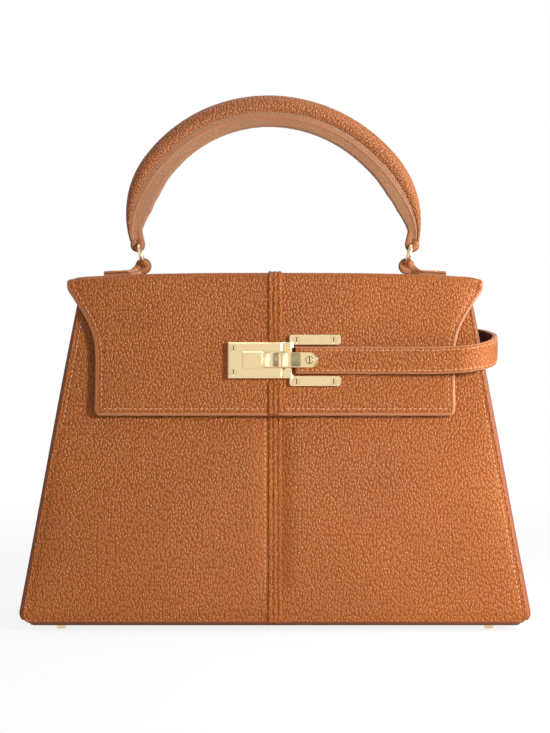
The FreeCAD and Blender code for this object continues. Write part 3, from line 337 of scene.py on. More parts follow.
def grain_place(tree):
    """The place on the flat hide, drawn out along the height and pushed about by a soft noise."""
    place = tree.nodes.new("ShaderNodeAttribute")
    place.attribute_name = "grain"
    drawn = tree.nodes.new("ShaderNodeVectorMath")
    drawn.operation = "MULTIPLY"
    drawn.inputs[1].default_value = (1, PEBBLE_SQUEEZE, 1)
    tree.links.new(place.outputs["Vector"], drawn.inputs[0])
    drift = node_of(tree, "ShaderNodeTexNoise", Scale=170.0, Detail=2.0)
    tree.links.new(drawn.outputs[0], drift.inputs["Vector"])
    push = tree.nodes.new("ShaderNodeVectorMath")
    push.operation = "MULTIPLY_ADD"
    push.inputs[1].default_value = (PEBBLE_DRIFT, PEBBLE_DRIFT, 0)
    tree.links.new(drift.outputs["Color"], push.inputs[0])
    tree.links.new(drawn.outputs[0], push.inputs[2])
    return place.outputs["Vector"], push.outputs[0]


def cells(tree, place, per_metre, feature, low, high):
    """A smooth step from 0 to 1 over a distance measured in a pattern of flat cells."""
    pattern = tree.nodes.new("ShaderNodeTexVoronoi")
    pattern.voronoi_dimensions = "2D"
    pattern.feature = feature
    pattern.inputs["Scale"].default_value = per_metre
    tree.links.new(place, pattern.inputs["Vector"])
    rise = tree.nodes.new("ShaderNodeMapRange")
    rise.interpolation_type = "SMOOTHSTEP"
    rise.inputs["From Min"].default_value = low
    rise.inputs["From Max"].default_value = high
    tree.links.new(pattern.outputs["Distance"], rise.inputs["Value"])
    return rise.outputs[0]


def pebble_height(tree, plain, place, per_metre):
    """The height of the grain: domes, the creases between them and the fine skin over both."""
    crown = cells(tree, place, per_metre, "F1", 0.72, 0.05)
    border = cells(tree, place, per_metre, "DISTANCE_TO_EDGE", 0.0, 0.1)
    skin = node_of(tree, "ShaderNodeTexNoise", Scale=2600.0, Detail=2.0)
    tree.links.new(plain, skin.inputs["Vector"])
    dome = math_node(tree, "MULTIPLY", crown, DOME_SHARE)
    crease = math_node(tree, "MULTIPLY", border, CREASE_SHARE)
    fine = math_node(tree, "MULTIPLY", skin.outputs["Fac"], SKIN_SHARE)
    return math_node(tree, "ADD", math_node(tree, "ADD", dome, crease), fine)


print("pebbles:", round(1000 / PEBBLES_PER_METRE, 2), "mm across")

# %% [markdown]
# The colour follows the pebbles' height only a little, because most of what one sees is light and shade on
# the domes. The darker tone in the creases is painted shade between the pebbles. A slow noise shifts the
# colour over the hide, and crowns are smoother than creases, as on leather that is handled. The edge that the
# maker has painted has a tone of its own and no pebbles. Smooth and dark leathers use the same tree with
# finer and much flatter pebbles.

# %% Leather finishes
def edge_paint(tree, width):
    """1 on the painted edge and 0 on the hide."""
    attribute = tree.nodes.new("ShaderNodeAttribute")
    attribute.attribute_name = "edge"
    fall = tree.nodes.new("ShaderNodeMapRange")
    fall.interpolation_type = "SMOOTHSTEP"
    fall.inputs["From Min"].default_value = width
    fall.inputs["From Max"].default_value = 0.6 * width
    tree.links.new(attribute.outputs["Fac"], fall.inputs["Value"])
    return fall.outputs[0]


def leather_finish(name, tones, paint, paint_width, per_metre=PEBBLES_PER_METRE, depth=PEBBLE_DEPTH):
    """Leather from three tones, crease, hide and crown, and the tone and width of its painted edge."""
    material, tree, shader = new_finish(name)
    plain, place = grain_place(tree)
    height = pebble_height(tree, plain, place, per_metre)
    # The first tone, for the creases, is darker than the hide: painted shade between the pebbles.
    colour = ramp_node(tree, height, [(0.1, tones[0]), (0.5, tones[1]), (0.95, tones[2])])
    slow = node_of(tree, "ShaderNodeTexNoise", Scale=16.0, Detail=3.0)
    tree.links.new(plain, slow.inputs["Vector"])
    tone = ramp_node(tree, slow.outputs["Fac"], [(0.3, (0.88, 0.86, 0.84)), (0.7, (1.0, 1.0, 1.0))])
    colour = mix_colours(tree, "MULTIPLY", 1.0, colour, tone)
    painted = edge_paint(tree, paint_width)
    tree.links.new(mix_colours(tree, "MIX", painted, colour, paint), shader.inputs["Base Color"])
    dull = tree.nodes.new("ShaderNodeMapRange")
    dull.inputs["To Min"].default_value = 0.55
    dull.inputs["To Max"].default_value = 0.32
    tree.links.new(height, dull.inputs["Value"])
    tree.links.new(dull.outputs[0], shader.inputs["Roughness"])
    bump = node_of(tree, "ShaderNodeBump", Strength=0.9, Distance=depth)
    flat = math_node(tree, "MULTIPLY", height, math_node(tree, "SUBTRACT", 1.0, painted))
    tree.links.new(flat, bump.inputs["Height"])
    tree.links.new(bump.outputs[0], shader.inputs["Normal"])
    shader.inputs["Specular IOR Level"].default_value = 0.34
    return material


HIDE_TONES = [(0.295, 0.068, 0.006), (0.405, 0.106, 0.012), (0.46, 0.134, 0.019)]
SMOOTH_TONES = [(0.37, 0.170, 0.084), (0.415, 0.196, 0.099), (0.45, 0.216, 0.112)]
# The knob tones are a darker copy of the smooth leather's tones: painted shade on the handle's loops and the
# flap's tabs.
KNOB_SHADE_TONES = [(0.25, 0.095, 0.042), (0.29, 0.115, 0.052), (0.33, 0.135, 0.063)]
DARK_TONES = [(0.045, 0.013, 0.007), (0.065, 0.019, 0.011), (0.085, 0.026, 0.015)]
HANDLE_TONES = [(0.335, 0.100, 0.025), (0.41, 0.133, 0.038), (0.46, 0.158, 0.050)]
PALE_PAINT = (0.44, 0.17, 0.07)
RED_PAINT = (0.23, 0.056, 0.016)
# The base's edge tone is dark: edge paint, and painted shade along the bottom line of the bag.
BASE_EDGE_PAINT_AND_SHADE = (0.12, 0.036, 0.014)
flap_finish = leather_finish("pebbled_flap_leather", HIDE_TONES, PALE_PAINT, 1.9)
body_finish = leather_finish("pebbled_body_leather", HIDE_TONES, RED_PAINT, 1.3)
base_finish = leather_finish("base_leather_edge_paint_and_shade", HIDE_TONES, BASE_EDGE_PAINT_AND_SHADE, 3.0)
strap_finish = leather_finish("pebbled_strap_leather", HIDE_TONES, PALE_PAINT, 1.2)
handle_finish = leather_finish("pebbled_handle_leather", HANDLE_TONES, PALE_PAINT, 1.2)
smooth_finish = leather_finish("smooth_leather", SMOOTH_TONES, PALE_PAINT, 0.8, 900.0, 0.00008)
knob_shade_finish = leather_finish("knob_leather_painted_shade", KNOB_SHADE_TONES, PALE_PAINT, 0.3, 900.0, 0.0001)
dark_finish = leather_finish("strap_lining_leather", DARK_TONES, PALE_PAINT, 0.5, 1200.0, 0.00006)
leathers = (flap_finish, body_finish, base_finish, strap_finish,
            handle_finish, smooth_finish, knob_shade_finish, dark_finish)
print("leather finishes:", [item.name for item in leathers])

# %% [markdown]
# The lining is a soft brushed leather without pebbles, so it gets a fine two-way noise. The hardware is a
# pale gold plate: a metal shader whose roughness is broken by a fine noise and by long thin brush lines.
# Hidden stiffening boards are grey-brown fibre board, and the spring is bare steel.

# %% Lining, gold, board and thread finishes
GOLD_LOW = (0.82, 0.62, 0.33)
GOLD_HIGH = (0.89, 0.70, 0.41)


def brushed_finish(name, low, high, scale, rough, depth, metal=0.0, squeeze=(1, 1, 1), rough_spread=0.08):
    material, tree, shader = new_finish(name)
    place = tree.nodes.new("ShaderNodeTexCoord")
    squeezed = tree.nodes.new("ShaderNodeMapping")
    squeezed.inputs["Scale"].default_value = squeeze
    tree.links.new(place.outputs["Object"], squeezed.inputs["Vector"])
    noise = node_of(tree, "ShaderNodeTexNoise", Scale=scale, Detail=4.0)
    tree.links.new(squeezed.outputs[0], noise.inputs["Vector"])
    colour = ramp_node(tree, noise.outputs["Fac"], [(0.3, low), (0.7, high)])
    tree.links.new(colour, shader.inputs["Base Color"])
    spread = tree.nodes.new("ShaderNodeMapRange")
    spread.inputs["To Min"].default_value = rough - rough_spread
    spread.inputs["To Max"].default_value = rough + rough_spread
    tree.links.new(noise.outputs["Fac"], spread.inputs["Value"])
    tree.links.new(spread.outputs[0], shader.inputs["Roughness"])
    bump = node_of(tree, "ShaderNodeBump", Strength=0.4, Distance=depth)
    tree.links.new(noise.outputs["Fac"], bump.inputs["Height"])
    tree.links.new(bump.outputs[0], shader.inputs["Normal"])
    shader.inputs["Metallic"].default_value = metal
    return material


lining_finish = brushed_finish("brushed_lining", (0.27, 0.10, 0.037), (0.38, 0.155, 0.062),
                               900.0, 0.82, 0.0002)
gold_finish = brushed_finish("pale_gold", GOLD_LOW, GOLD_HIGH, 700.0, 0.15, 0.00002, 1.0, (1, 1, 9), 0.04)
board_finish = brushed_finish("fibre_board", (0.13, 0.10, 0.075), (0.21, 0.165, 0.12), 420.0, 0.85, 0.0002)
core_finish = brushed_finish("cord_core", (0.20, 0.10, 0.05), (0.30, 0.16, 0.085), 600.0, 0.85, 0.0002)
steel_finish = brushed_finish("bare_steel", (0.42, 0.42, 0.43), (0.56, 0.56, 0.57), 800.0, 0.3, 0.00002, 1.0)
thread_finish = brushed_finish("waxed_thread", (0.56, 0.25, 0.11), (0.70, 0.34, 0.165), 2400.0, 0.55, 0.0001)
print("finishes so far:", len(bpy.data.materials))

# %% [markdown]
# Two places of the gold need more than one tone, and both are painted light and shade. The slots of the
# screws are so narrow that they would shine like the heads, so the gold turns dark just below the face of
# each head: painted shade in the slots. The bevel on the web of the strap guide mirrors the gold lock plate
# and would look orange, so it is made paler: a painted highlight on the bevel.

# %% Painted shade in the screw slots, and a painted highlight on the web of the guide
SLOT_SHADE_FROM = 0.1
SLOT_SHADE_FULL = 0.25
# The slot colour is painted shade.
SLOT_SHADE_COLOUR = (0.05, 0.03, 0.015)
WEB_BEVEL_X = 6.7
# The web's pale colour is a painted highlight.
WEB_HIGHLIGHT = (1.0, 0.97, 0.88)


def slot_shaded_finish(name, face):
    """Gold for screws whose heads end at a height over the front, and painted shade below it, down in the
    slot.
    """
    material = brushed_finish(name, (0.78, 0.58, 0.30), (0.86, 0.67, 0.38), 900.0, 0.2, 0.00003, 1.0)
    tree = material.node_tree
    shader = tree.nodes["Principled BSDF"]
    place = tree.nodes.new("ShaderNodeTexCoord")
    height = tree.nodes.new("ShaderNodeVectorMath")
    height.operation = "DOT_PRODUCT"
    height.inputs[1].default_value = (0, -LEAN_COS, LEAN_SIN)
    tree.links.new(place.outputs["Object"], height.inputs[0])
    top = LEAN_SIN * LOCK_Z - LEAN_COS * front_y(LOCK_Z) + face
    # The mask low is 0 on the head and 1 down in the slot, where a dark colour and no metal paint the slot's
    # shade.
    low = node_of(tree, "ShaderNodeMapRange",
                  From_Min=(top - SLOT_SHADE_FROM) * MM, From_Max=(top - SLOT_SHADE_FULL) * MM)
    tree.links.new(height.outputs["Value"], low.inputs["Value"])
    gold = shader.inputs["Base Color"].links[0].from_socket
    colour = mix_colours(tree, "MIX", low.outputs[0], gold, SLOT_SHADE_COLOUR)
    tree.links.new(colour, shader.inputs["Base Color"])
    tree.links.new(math_node(tree, "SUBTRACT", 1.0, low.outputs[0]), shader.inputs["Metallic"])
    return material


def web_highlight_finish():
    """Gold for the strap guide, with a painted highlight on the web's bevel, which is all that lies left of
    WEB_BEVEL_X.
    """
    material = brushed_finish("web_gold_painted_highlight", GOLD_LOW, GOLD_HIGH, 700.0, 0.15, 0.00002, 1.0)
    tree = material.node_tree
    shader = tree.nodes["Principled BSDF"]
    place = tree.nodes.new("ShaderNodeTexCoord")
    axes = tree.nodes.new("ShaderNodeSeparateXYZ")
    tree.links.new(place.outputs["Object"], axes.inputs[0])
    # The mask bevel is 1 on the web's bevel, where the paler colour is a painted highlight.
    bevel = node_of(tree, "ShaderNodeMapRange", From_Min=(WEB_BEVEL_X + 0.2) * MM, From_Max=WEB_BEVEL_X * MM)
    tree.links.new(axes.outputs["X"], bevel.inputs["Value"])
    gold = shader.inputs["Base Color"].links[0].from_socket
    colour = mix_colours(tree, "MIX", bevel.outputs[0], gold, WEB_HIGHLIGHT)
    tree.links.new(colour, shader.inputs["Base Color"])
    return material


NODE_FINISH = {"lock_screws": slot_shaded_finish("lock_screw_gold_slot_shade", 9.1),
               "guide_screws": slot_shaded_finish("guide_screw_gold_slot_shade", 7.3),
               "tongue_screw": slot_shaded_finish("tongue_screw_gold_slot_shade", 10.75),
               "strap_guide": web_highlight_finish()}
print("CAD pieces with a finish of their own:", sorted(NODE_FINISH))

# %% [markdown]
# A half panel is a grid that starts at its outer edge. Rows and columns crowd together at the rim, where
# the edge is round, and are wide apart where nothing happens. The lower corners are rounded by moving the
# side in.

# %% Grid of a half panel
RIM_STEPS = [0.0, 0.1, 0.35, 0.7, 1.1, 1.6, 2.1, 2.5, 2.9, 3.5, 4.4, 5.2, 6.4, 8.0]
CORNER = 8.0
GRID_STEP = 3.2
SEAM_GAP = 0.25
CROWD_TO_SEAM = 1.4


def rim_rows(low, high, spacing):
    """Positions from low to high, crowded together at both ends."""
    rim = np.array(RIM_STEPS)
    last = high - rim[-1]
    middle = np.linspace(low + rim[-1], last, max(3, int((last - low) / spacing)))
    return np.concatenate([low + rim, middle[1:-1], high - rim[::-1]])


def corner_cut(distance, radius):
    """How far a rounded corner moves the side in, at a distance from the end."""
    left = np.clip(radius - distance, 0, radius)
    return radius - np.sqrt(radius ** 2 - left ** 2)


def panel_grid(side_at):
    """Distances from the side, and x, for each row of a half panel whose sides are given."""
    rim = np.array(RIM_STEPS)
    count = int((np.max(side_at) - SEAM_GAP - rim[-1]) / GRID_STEP)
    share = 1 - (1 - np.linspace(0, 1, count)[1:]) ** CROWD_TO_SEAM
    away = np.array([np.concatenate([rim, rim[-1] + share * (side - SEAM_GAP - rim[-1])])
                     for side in side_at])
    return away, side_at[:, None] - away


print("columns near the rim:", len(RIM_STEPS))

# %% [markdown]
# A flat plate would look like card. So the lower part of the bag bulges a little, slow waves run over the
# hide, and both halves roll in towards the centre seam. On the right the bulge keeps its height nearly to
# the rim, and on the left it falls off slowly, because a filled bag is never quite even. A second function
# gives the fine form beside an edge: the thread pulls the hide in, and a line is pressed between thread and
# edge.

# %% Bulge, seam and thread line
BULGE_OUT = 3.0
BULGE_HEIGHT = 134.0
SQUARE_RIGHT = 16
SQUARE_LEFT = 2
SEAM_DIP = 2.4
FLAT_DIP = 0.9
ROLL_LEFT = 13.0
ROLL_RIGHT = 16.0
ROLL_END = 4.5
THREAD_IN = 4.4
CREASE_IN = 2.5


def waves(x, z):
    slow = np.sin(0.021 * x + 0.6) * np.sin(0.027 * z + 0.3)
    return 0.35 * slow + 0.15 * np.sin(0.061 * x - 0.043 * z)


def bulge(x, z):
    """How far the front and back stand out of their CAD plane, most below the flap."""
    high = np.sin(math.pi * np.clip((z - PANEL_Z) / BULGE_HEIGHT, 0, 1))
    across = 1 - np.clip(np.abs(x) / half_width(z), 0, 1) ** np.where(x > 0, SQUARE_RIGHT, SQUARE_LEFT)
    left_roll = (ROLL_LEFT + x) / (ROLL_LEFT - ROLL_END)
    right_roll = (ROLL_RIGHT - x) / (ROLL_RIGHT - ROLL_END)
    roll = np.clip(np.where(x < 0, left_roll, right_roll), 0, 1)
    dip = np.minimum(SEAM_DIP, FLAT_DIP + BULGE_OUT * high) * ease(z, 8, 40) * (1 - ease(z, 165, 215))
    return high * (BULGE_OUT + waves(x, z)) * across - dip * roll ** 2


def thread_pull(edge):
    """How far the thread and the pressed line beside the edge draw the hide in."""
    thread = 0.35 * np.exp(-((edge - THREAD_IN) / 1.2) ** 2)
    return thread + 0.3 * np.exp(-((edge - CREASE_IN) / 0.45) ** 2)


print("bulge of the front at mid height:", round(float(bulge(60.0, PANEL_Z + BULGE_HEIGHT / 2)), 1), "mm")

# %% [markdown]
# The front is two leather halves that meet in the middle. One function makes both, and the sign of x tells
# them apart. Both take the form of the right side, so they mirror each other.

# %% Front halves
def front_half(name, sign):
    z = rim_rows(PANEL_LOW, MOUTH_Z - 0.4, GRID_STEP)
    side = half_width(z) - SIDE_IN - corner_cut(z - PANEL_LOW, CORNER)
    away, x = panel_grid(side)
    height = np.repeat(z[:, None], x.shape[1], 1)
    edge = np.minimum(away, np.minimum(height - z[0], z[-1] - height))
    out = -LEATHER / 2 + bulge(x, height) - thread_pull(edge)
    middle = np.stack([sign * x, front_y(height, out), height], axis=2)
    grain = np.stack([sign * x, height], axis=2)
    piece = sheet_piece(name, middle, LEATHER, edge, grain, (0, -1, 0), body_finish)
    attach(piece, "body")
    return piece


for side_name, sign in SIDES:
    half = front_half(f"front_{side_name}", sign)
    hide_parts(f"front_panel_{side_name}")
    print(half.name, len(half.data.polygons), "faces")

# %% [markdown]
# The back and the flap are one hide on the real bag: it comes up the back, folds over the mouth and falls
# down the front. So each half is one sheet along a path with two arcs.

# %% Path of the back and flap
FLAP_TOP_MIDDLE = 229.526
FLAP_MIDDLE_OUT = 3.7
FLAP_LOW = 138.126
BACK_ARC = 4.0
FRONT_ARC = 4.7
PATH_STEP = 0.25
LEVEL_WITHIN = 0.02

hide_corners = [(-front_y(PANEL_LOW, -LEATHER / 2), PANEL_LOW),
                (-front_y(FLAP_TOP_MIDDLE, -LEATHER / 2), FLAP_TOP_MIDDLE),
                (front_y(FLAP_TOP_MIDDLE, FLAP_MIDDLE_OUT), FLAP_TOP_MIDDLE),
                (front_y(FLAP_LOW, FLAP_MIDDLE_OUT), FLAP_LOW)]
hide_line = rounded_path(hide_corners, [BACK_ARC, FRONT_ARC], PATH_STEP)
hide_along = line_length(hide_line)
hide_length = hide_along[-1]
on_top = np.nonzero(hide_line[:, 1] > FLAP_TOP_MIDDLE - LEVEL_WITHIN)[0]
back_end = hide_along[on_top[0]]
front_start = hide_along[on_top[-1]]
print("hide length:", round(hide_length, 1), "mm; top from", round(back_end, 1), "to", round(front_start, 1))

# %% [markdown]
# Across the top the hide spreads into two wings that droop at their tips. On the front the side edge runs
# from the tip in a slight S down to the flap's straight side. The half width along the path is drawn
# through a few measured places and smoothed.

# %% Outline of the back and flap
FLAP_CORNER = 4.0
FLAP_HALF = 117.0


def height_place(z):
    """Place along the hide where the flap's front passes a height."""
    front = hide_along > front_start + 3
    return np.interp(-z, -hide_line[front, 1], hide_along[front])


OUTLINE = [(0, BASE_HALF - SIDE_IN), (back_end - 22, half_width(MOUTH_Z - 17) - SIDE_IN),
           (back_end - 6, 129.0), (back_end + 10, 132.5), (front_start - 6, 135.0), (front_start + 3, 135.9)]
FRONT_SIDE = [(224, 135.3), (218.9, 132.4), (213.5, 129.6), (206.8, 125.9),
              (199.4, 122.0), (191, 118.9), (183, 117.4), (174, FLAP_HALF)]
OUTLINE += [(height_place(z), half) for z, half in FRONT_SIDE]
OUTLINE.append((hide_length, FLAP_HALF))
outline_place = np.linspace(0, hide_length, 1500)
outline_half = smoothed(table_value(OUTLINE, outline_place), 27)
outline_half[:20] = BASE_HALF - SIDE_IN - outline_place[:20] * SIDE_TAPER * LEAN_COS


def hide_half(along):
    low_corner = corner_cut(along, CORNER) + corner_cut(hide_length - along, FLAP_CORNER)
    return np.interp(along, outline_place, outline_half) - low_corner


print("wing half width:", round(outline_half.max(where=outline_place > back_end, initial=0), 1), "mm")

# %% [markdown]
# The hide isn't stiff over the mouth. Its top sags towards the wings and falls a little to the rear, the
# wings curl in on the front, more on the right, and the flap's lower edge lifts off the front. All of this
# is added to the path in one function, so that whatever lies on the hide later can ask it for its place.

# %% Sag and curl of the hide
REAR_DROP = 1.0
TOP_SAG = 2.0
SAG_HALF = 114.5
TIP_SAG = 1.9
TIP_FROM = 125.0
TIP_WIDE = 12.0
LOW_LIFT = 0.7
CURL_RIGHT = 5.5
CURL_LEFT = 1.3
CURL_FROM = 112.0
CURL_WIDE = 25.0
NEAR_STEP = 0.3


def top_sag(x):
    """How far the flap's top hangs down towards its tips."""
    tip = np.clip(np.abs(x) - TIP_FROM, 0, None) / TIP_WIDE
    return TOP_SAG * (np.abs(x) / SAG_HALF) ** 3 + TIP_SAG * tip ** 2


def rear_slope(y):
    return REAR_DROP * ease(y, -24, 26)


def line_spot(along):
    """y and z of the hide's middle at a place along it."""
    return np.interp(along, hide_along, hide_line[:, 0]), np.interp(along, hide_along, hide_line[:, 1])


def hide_spot(x, along, out):
    """A point of the back and flap hide: across, along it, and outwards of its middle."""
    y, z = line_spot(along)
    ahead = line_spot(along + NEAR_STEP)
    behind = line_spot(along - NEAR_STEP)
    run_y, run_z = ahead[0] - behind[0], ahead[1] - behind[1]
    size = np.hypot(run_y, run_z)
    on_flap = ease(along, back_end - 12, back_end + 6) * ease(z, 176, 226)
    back = ease(-along, -back_end + 6, -back_end + 46)
    low_lift = LOW_LIFT * ease(along, hide_length - 26, hide_length)
    rear = rear_slope(y) * ease(along, back_end - 9, back_end - 1)
    curl = np.where(x > 0, CURL_RIGHT, CURL_LEFT) * ease(along, front_start, front_start + 10)
    wing_curl = curl * (np.clip(np.abs(x) - CURL_FROM, 0, None) / CURL_WIDE) ** 2
    out = out + bulge(x, z) * back + low_lift - wing_curl
    z = z - out * run_y / size - top_sag(x) * on_flap - rear
    return np.stack([x, y + out * run_z / size, z], axis=-1)


print("sag at the wing tips:", round(float(top_sag(135.0)), 1), "mm")

# %% [markdown]
# Each half of the hide is one sheet from the base of the back to the lower edge of the flap. Both bends get
# extra rows, or the fold would look like a chain of flats. Rows that nearly touch would spoil the shading,
# so such pairs are thinned out.

# %% Back and flap halves
CLOSEST_ROWS = 0.09
back_bend_rows = np.linspace(back_end - 8, back_end + 2, 14)
front_bend_rows = np.linspace(front_start - 1, front_start + 9, 14)


def thinned(rows):
    return rows[np.concatenate([[True], np.diff(rows) > CLOSEST_ROWS])]


def hide_rows():
    rows = np.concatenate([rim_rows(0, hide_length, GRID_STEP), back_bend_rows, front_bend_rows])
    rows = thinned(np.unique(np.round(rows[(rows >= 0) & (rows <= hide_length)], 3)))
    rows[-1] = hide_length
    return rows


def hide_piece(name, sign):
    along = hide_rows()
    away, x = panel_grid(hide_half(along))
    run = np.repeat(along[:, None], x.shape[1], 1)
    edge = np.minimum(away, np.minimum(run, hide_length - run))
    middle = hide_spot(sign * x, run, -thread_pull(edge))
    grain = np.stack([sign * x + 400, -run], axis=2)
    return sheet_piece(name, middle, LEATHER, edge, grain, (0, 1, 0), flap_finish)


for side_name, sign in SIDES:
    half = hide_piece(f"back_flap_{side_name}", sign)
    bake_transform(half)
    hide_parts(f"back_panel_{side_name}", f"flap_{side_name}")
    print(half.name, len(half.data.polygons), "faces")
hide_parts("flap_fold")

# %% [markdown]
# Over the centre seam lies a welt of three narrow ridges: two folded lips with a piped cord between them.
# It is swept from one cross-section. On the flap it is pared down where the lock sits, as the maker does,
# so that the metal lies flat. It shows no cut edge, so its distance from one is set to INSIDE_HIDE all
# over, which is out of reach of the edge paint.

# %% Centre welts
WELT_STEP = 3.1
WELT_HEIGHT = 1.15
WELT_ROOT = 0.6 * WELT_STEP
WELT_SUNK = 0.9
INSIDE_HIDE = 9.0
ridge = np.linspace(-1, 1, 9)
welt_x = np.concatenate([WELT_STEP * k + ridge * WELT_STEP / 2 for k in (-1, 0, 1)])
welt_up = np.tile(np.clip(np.sqrt(1 - ridge ** 2), 0.5, 1), 3) * WELT_HEIGHT
welt_up[[0, -1]] = 0
welt_x = np.concatenate([[-WELT_ROOT], welt_x, [WELT_ROOT]])
welt_up = np.concatenate([[-WELT_SUNK], welt_up, [-WELT_SUNK]])


def welt_piece(name, along, place, height):
    """Rings of the welt's section along a line; place(x, along, out) gives a point on the hide."""
    rings = []
    for step in along:
        up = np.where(welt_up > 0, welt_up * height(step), welt_up)
        rings.append(place(welt_x, np.full(len(welt_x), step), up))
    rings = np.array(rings)
    grain = flat_grid(along, welt_x + 800)[..., ::-1]
    edge = np.full(rings.shape[:2], INSIDE_HIDE)
    return swept_piece(name, rings, edge, grain, body_finish)


def front_spot(x, z, out):
    return np.stack([x, front_y(z, bulge(x, z) + out), z + out * LEAN_SIN], axis=-1)


front_welt = welt_piece("front_welt", np.linspace(PANEL_LOW + 0.3, 221, 90), front_spot, lambda z: 1.0)
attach(front_welt, "body")
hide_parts("front_centre_welt")


def pared(step):
    """1 along the welt, and little under the lock."""
    z = line_spot(step)[1]
    return 1.0 if step < front_start else 1 - 0.9 * (1 - ease(abs(z - LOCK_Z), 13.2, 16.0))


hide_welt = welt_piece("back_flap_welt", np.linspace(0.3, hide_length - 0.4, 260),
                       lambda x, along, out: hide_spot(x, along, out + LEATHER / 2), pared)
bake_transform(hide_welt)
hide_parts("back_centre_welt", "flap_centre_welt")
print("welts:", len(front_welt.data.polygons), len(hide_welt.data.polygons), "faces")

# %% [markdown]
# A gusset closes each side. It is sewn to the rims of the front and back with a narrow flange, and it folds
# inwards in the middle, deeper towards the mouth, so that the bag can open. Each row of the grid is that
# line seen from above: flange, tight bend, slanting wall, soft valley and the same again.

# %% Gussets
GUSSET = 1.8
GUSSET_BEND = 2.6
GUSSET_IN = SEAM_RIM + 1.1
MOUTH_FOLD = 14.0
VALLEY_ROUND = 6.0


def fold_depth(z):
    """How far the middle of a side is folded in at a height."""
    return MOUTH_FOLD * (z - PANEL_Z) / (MOUTH_Z - PANEL_Z)


def valley_share(y, reach):
    """1 in the middle of a side, and 0 at its corners, with a round bottom between."""
    return np.clip(1 - (np.sqrt(y ** 2 + VALLEY_ROUND ** 2) - VALLEY_ROUND) / reach, 0, 1)


def gusset_row(z, across):
    """Points of a gusset at one height, for shares from -1 at the front to 1 at the back."""
    depth = -front_y(z, -LEATHER - GUSSET / 2 - 0.15)
    wall = depth - GUSSET_BEND
    arc = GUSSET_BEND * math.pi / 2
    flange = SEAM_RIM - 1.2 - corner_cut(z - PANEL_LOW, CORNER)
    gone = np.abs(across) * (wall + arc + flange)
    turn = np.clip(gone - wall, 0, arc) / GUSSET_BEND
    y = np.minimum(gone, wall) + GUSSET_BEND * np.sin(turn)
    x = half_width(z) - GUSSET_IN + GUSSET_BEND * (1 - np.cos(turn)) + np.clip(gone - wall - arc, 0, None)
    valley = valley_share(y, wall)
    ripple = 0.8 * np.sin(3.1 * valley) * np.sin(0.03 * z)
    return x - fold_depth(z) * valley - ripple, np.copysign(y, across), gone


def gusset(name, sign):
    z = rim_rows(PANEL_Z + 0.3, MOUTH_Z - 0.5, 4.0)
    across = np.linspace(-1, 1, 81)
    x, y, gone = (np.array(rows) for rows in zip(*(gusset_row(height, across) for height in z)))
    height = np.repeat(z[:, None], len(across), 1)
    edge = np.minimum(gone[:, :1] - gone, np.minimum(height - z[0], z[-1] - height))
    middle = np.stack([sign * x, y, height], axis=2)
    grain = np.stack([y + 1200, height], axis=2)
    piece = sheet_piece(name, middle, GUSSET, edge, grain, (sign, 0, 0), body_finish)
    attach(piece, "body")
    return piece


for side_name, sign in SIDES:
    side_piece = gusset(f"side_{side_name}", sign)
    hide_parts(f"gusset_{side_name}")
    print(side_piece.name, len(side_piece.data.polygons), "faces")

# %% [markdown]
# The base is one thick leather panel under the walls, with rounded corners and a round painted rim. The rim's
# dark tone is edge paint and also painted shade along the bottom line of the bag. It sags a little between
# the four metal feet.

# %% Base
BASE_THICK = 3.0
BASE_CORNER = 6.0
BASE_SAG = 0.5
FOOT_HEIGHT = 3.5


def base_panel():
    half_x = BASE_HALF - SEAM_RIM
    half_y = BASE_DEPTH_HALF - 0.6
    y = rim_rows(-half_y, half_y, 5.0)
    cut = corner_cut(half_y - np.abs(y), BASE_CORNER)
    rim = np.array(RIM_STEPS)
    inner = np.linspace(-1, 1, 60)[1:-1]
    x = np.array([np.concatenate([rim - side, inner * (side - rim[-1]), side - rim[::-1]])
                  for side in half_x - cut])
    depth = np.repeat(y[:, None], x.shape[1], 1)
    edge = np.minimum(half_x - cut[:, None] - np.abs(x), half_y - np.abs(depth))
    sag = BASE_SAG * np.cos(math.pi * x / (2 * half_x)) * np.cos(math.pi * depth / (2 * half_y))
    middle = np.stack([x, depth, FOOT_HEIGHT + BASE_THICK / 2 - sag], axis=2)
    grain = np.stack([x + 1600, depth], axis=2)
    return sheet_piece("base", middle, BASE_THICK, edge, grain, (0, 0, -1), base_finish)


base = base_panel()
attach(base, "body")
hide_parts("base_panel")
print("base:", len(base.data.polygons), "faces")

# %% [markdown]
# Inside hangs a lining: a wall that runs once round the inside, following the folded sides, and a floor.
# The wall ends just below the mouth. Its rows are closed loops, so it is built as a sweep of rings up the
# outside and down the inside.

# %% Lining
LINING = 0.8
BOARD = 1.2
INNER_FACE = LEATHER + BOARD
LINING_BEND = 5.0
QUARTER_STEPS = 40


def lining_loop(z, inset):
    """One turn round the inside at a height, as x and y, from the middle of the front."""
    depth = -front_y(z, -INNER_FACE - 0.1 - inset)
    side = half_width(z) - SEAM_RIM - LEATHER - 0.3 - inset
    fold = fold_depth(z)
    bend = LINING_BEND
    flat = np.linspace(0, side - bend - fold * 0.1, QUARTER_STEPS)
    turn = np.linspace(0, math.pi / 2, 12)[1:-1]
    back = np.linspace(depth - bend, 0, QUARTER_STEPS // 2)
    valley = valley_share(back, depth - bend)
    x = np.concatenate([flat, flat[-1] + bend * np.sin(turn), flat[-1] + bend - fold * valley * 0.97])
    y = np.concatenate([np.full(QUARTER_STEPS, -depth), -depth + bend * (1 - np.cos(turn)), -back])
    x = np.concatenate([x, x[-2::-1]])
    y = np.concatenate([y, -y[-2::-1]])
    return np.column_stack([np.concatenate([x, -x[-2:0:-1]]), np.concatenate([y, y[-2:0:-1]])])


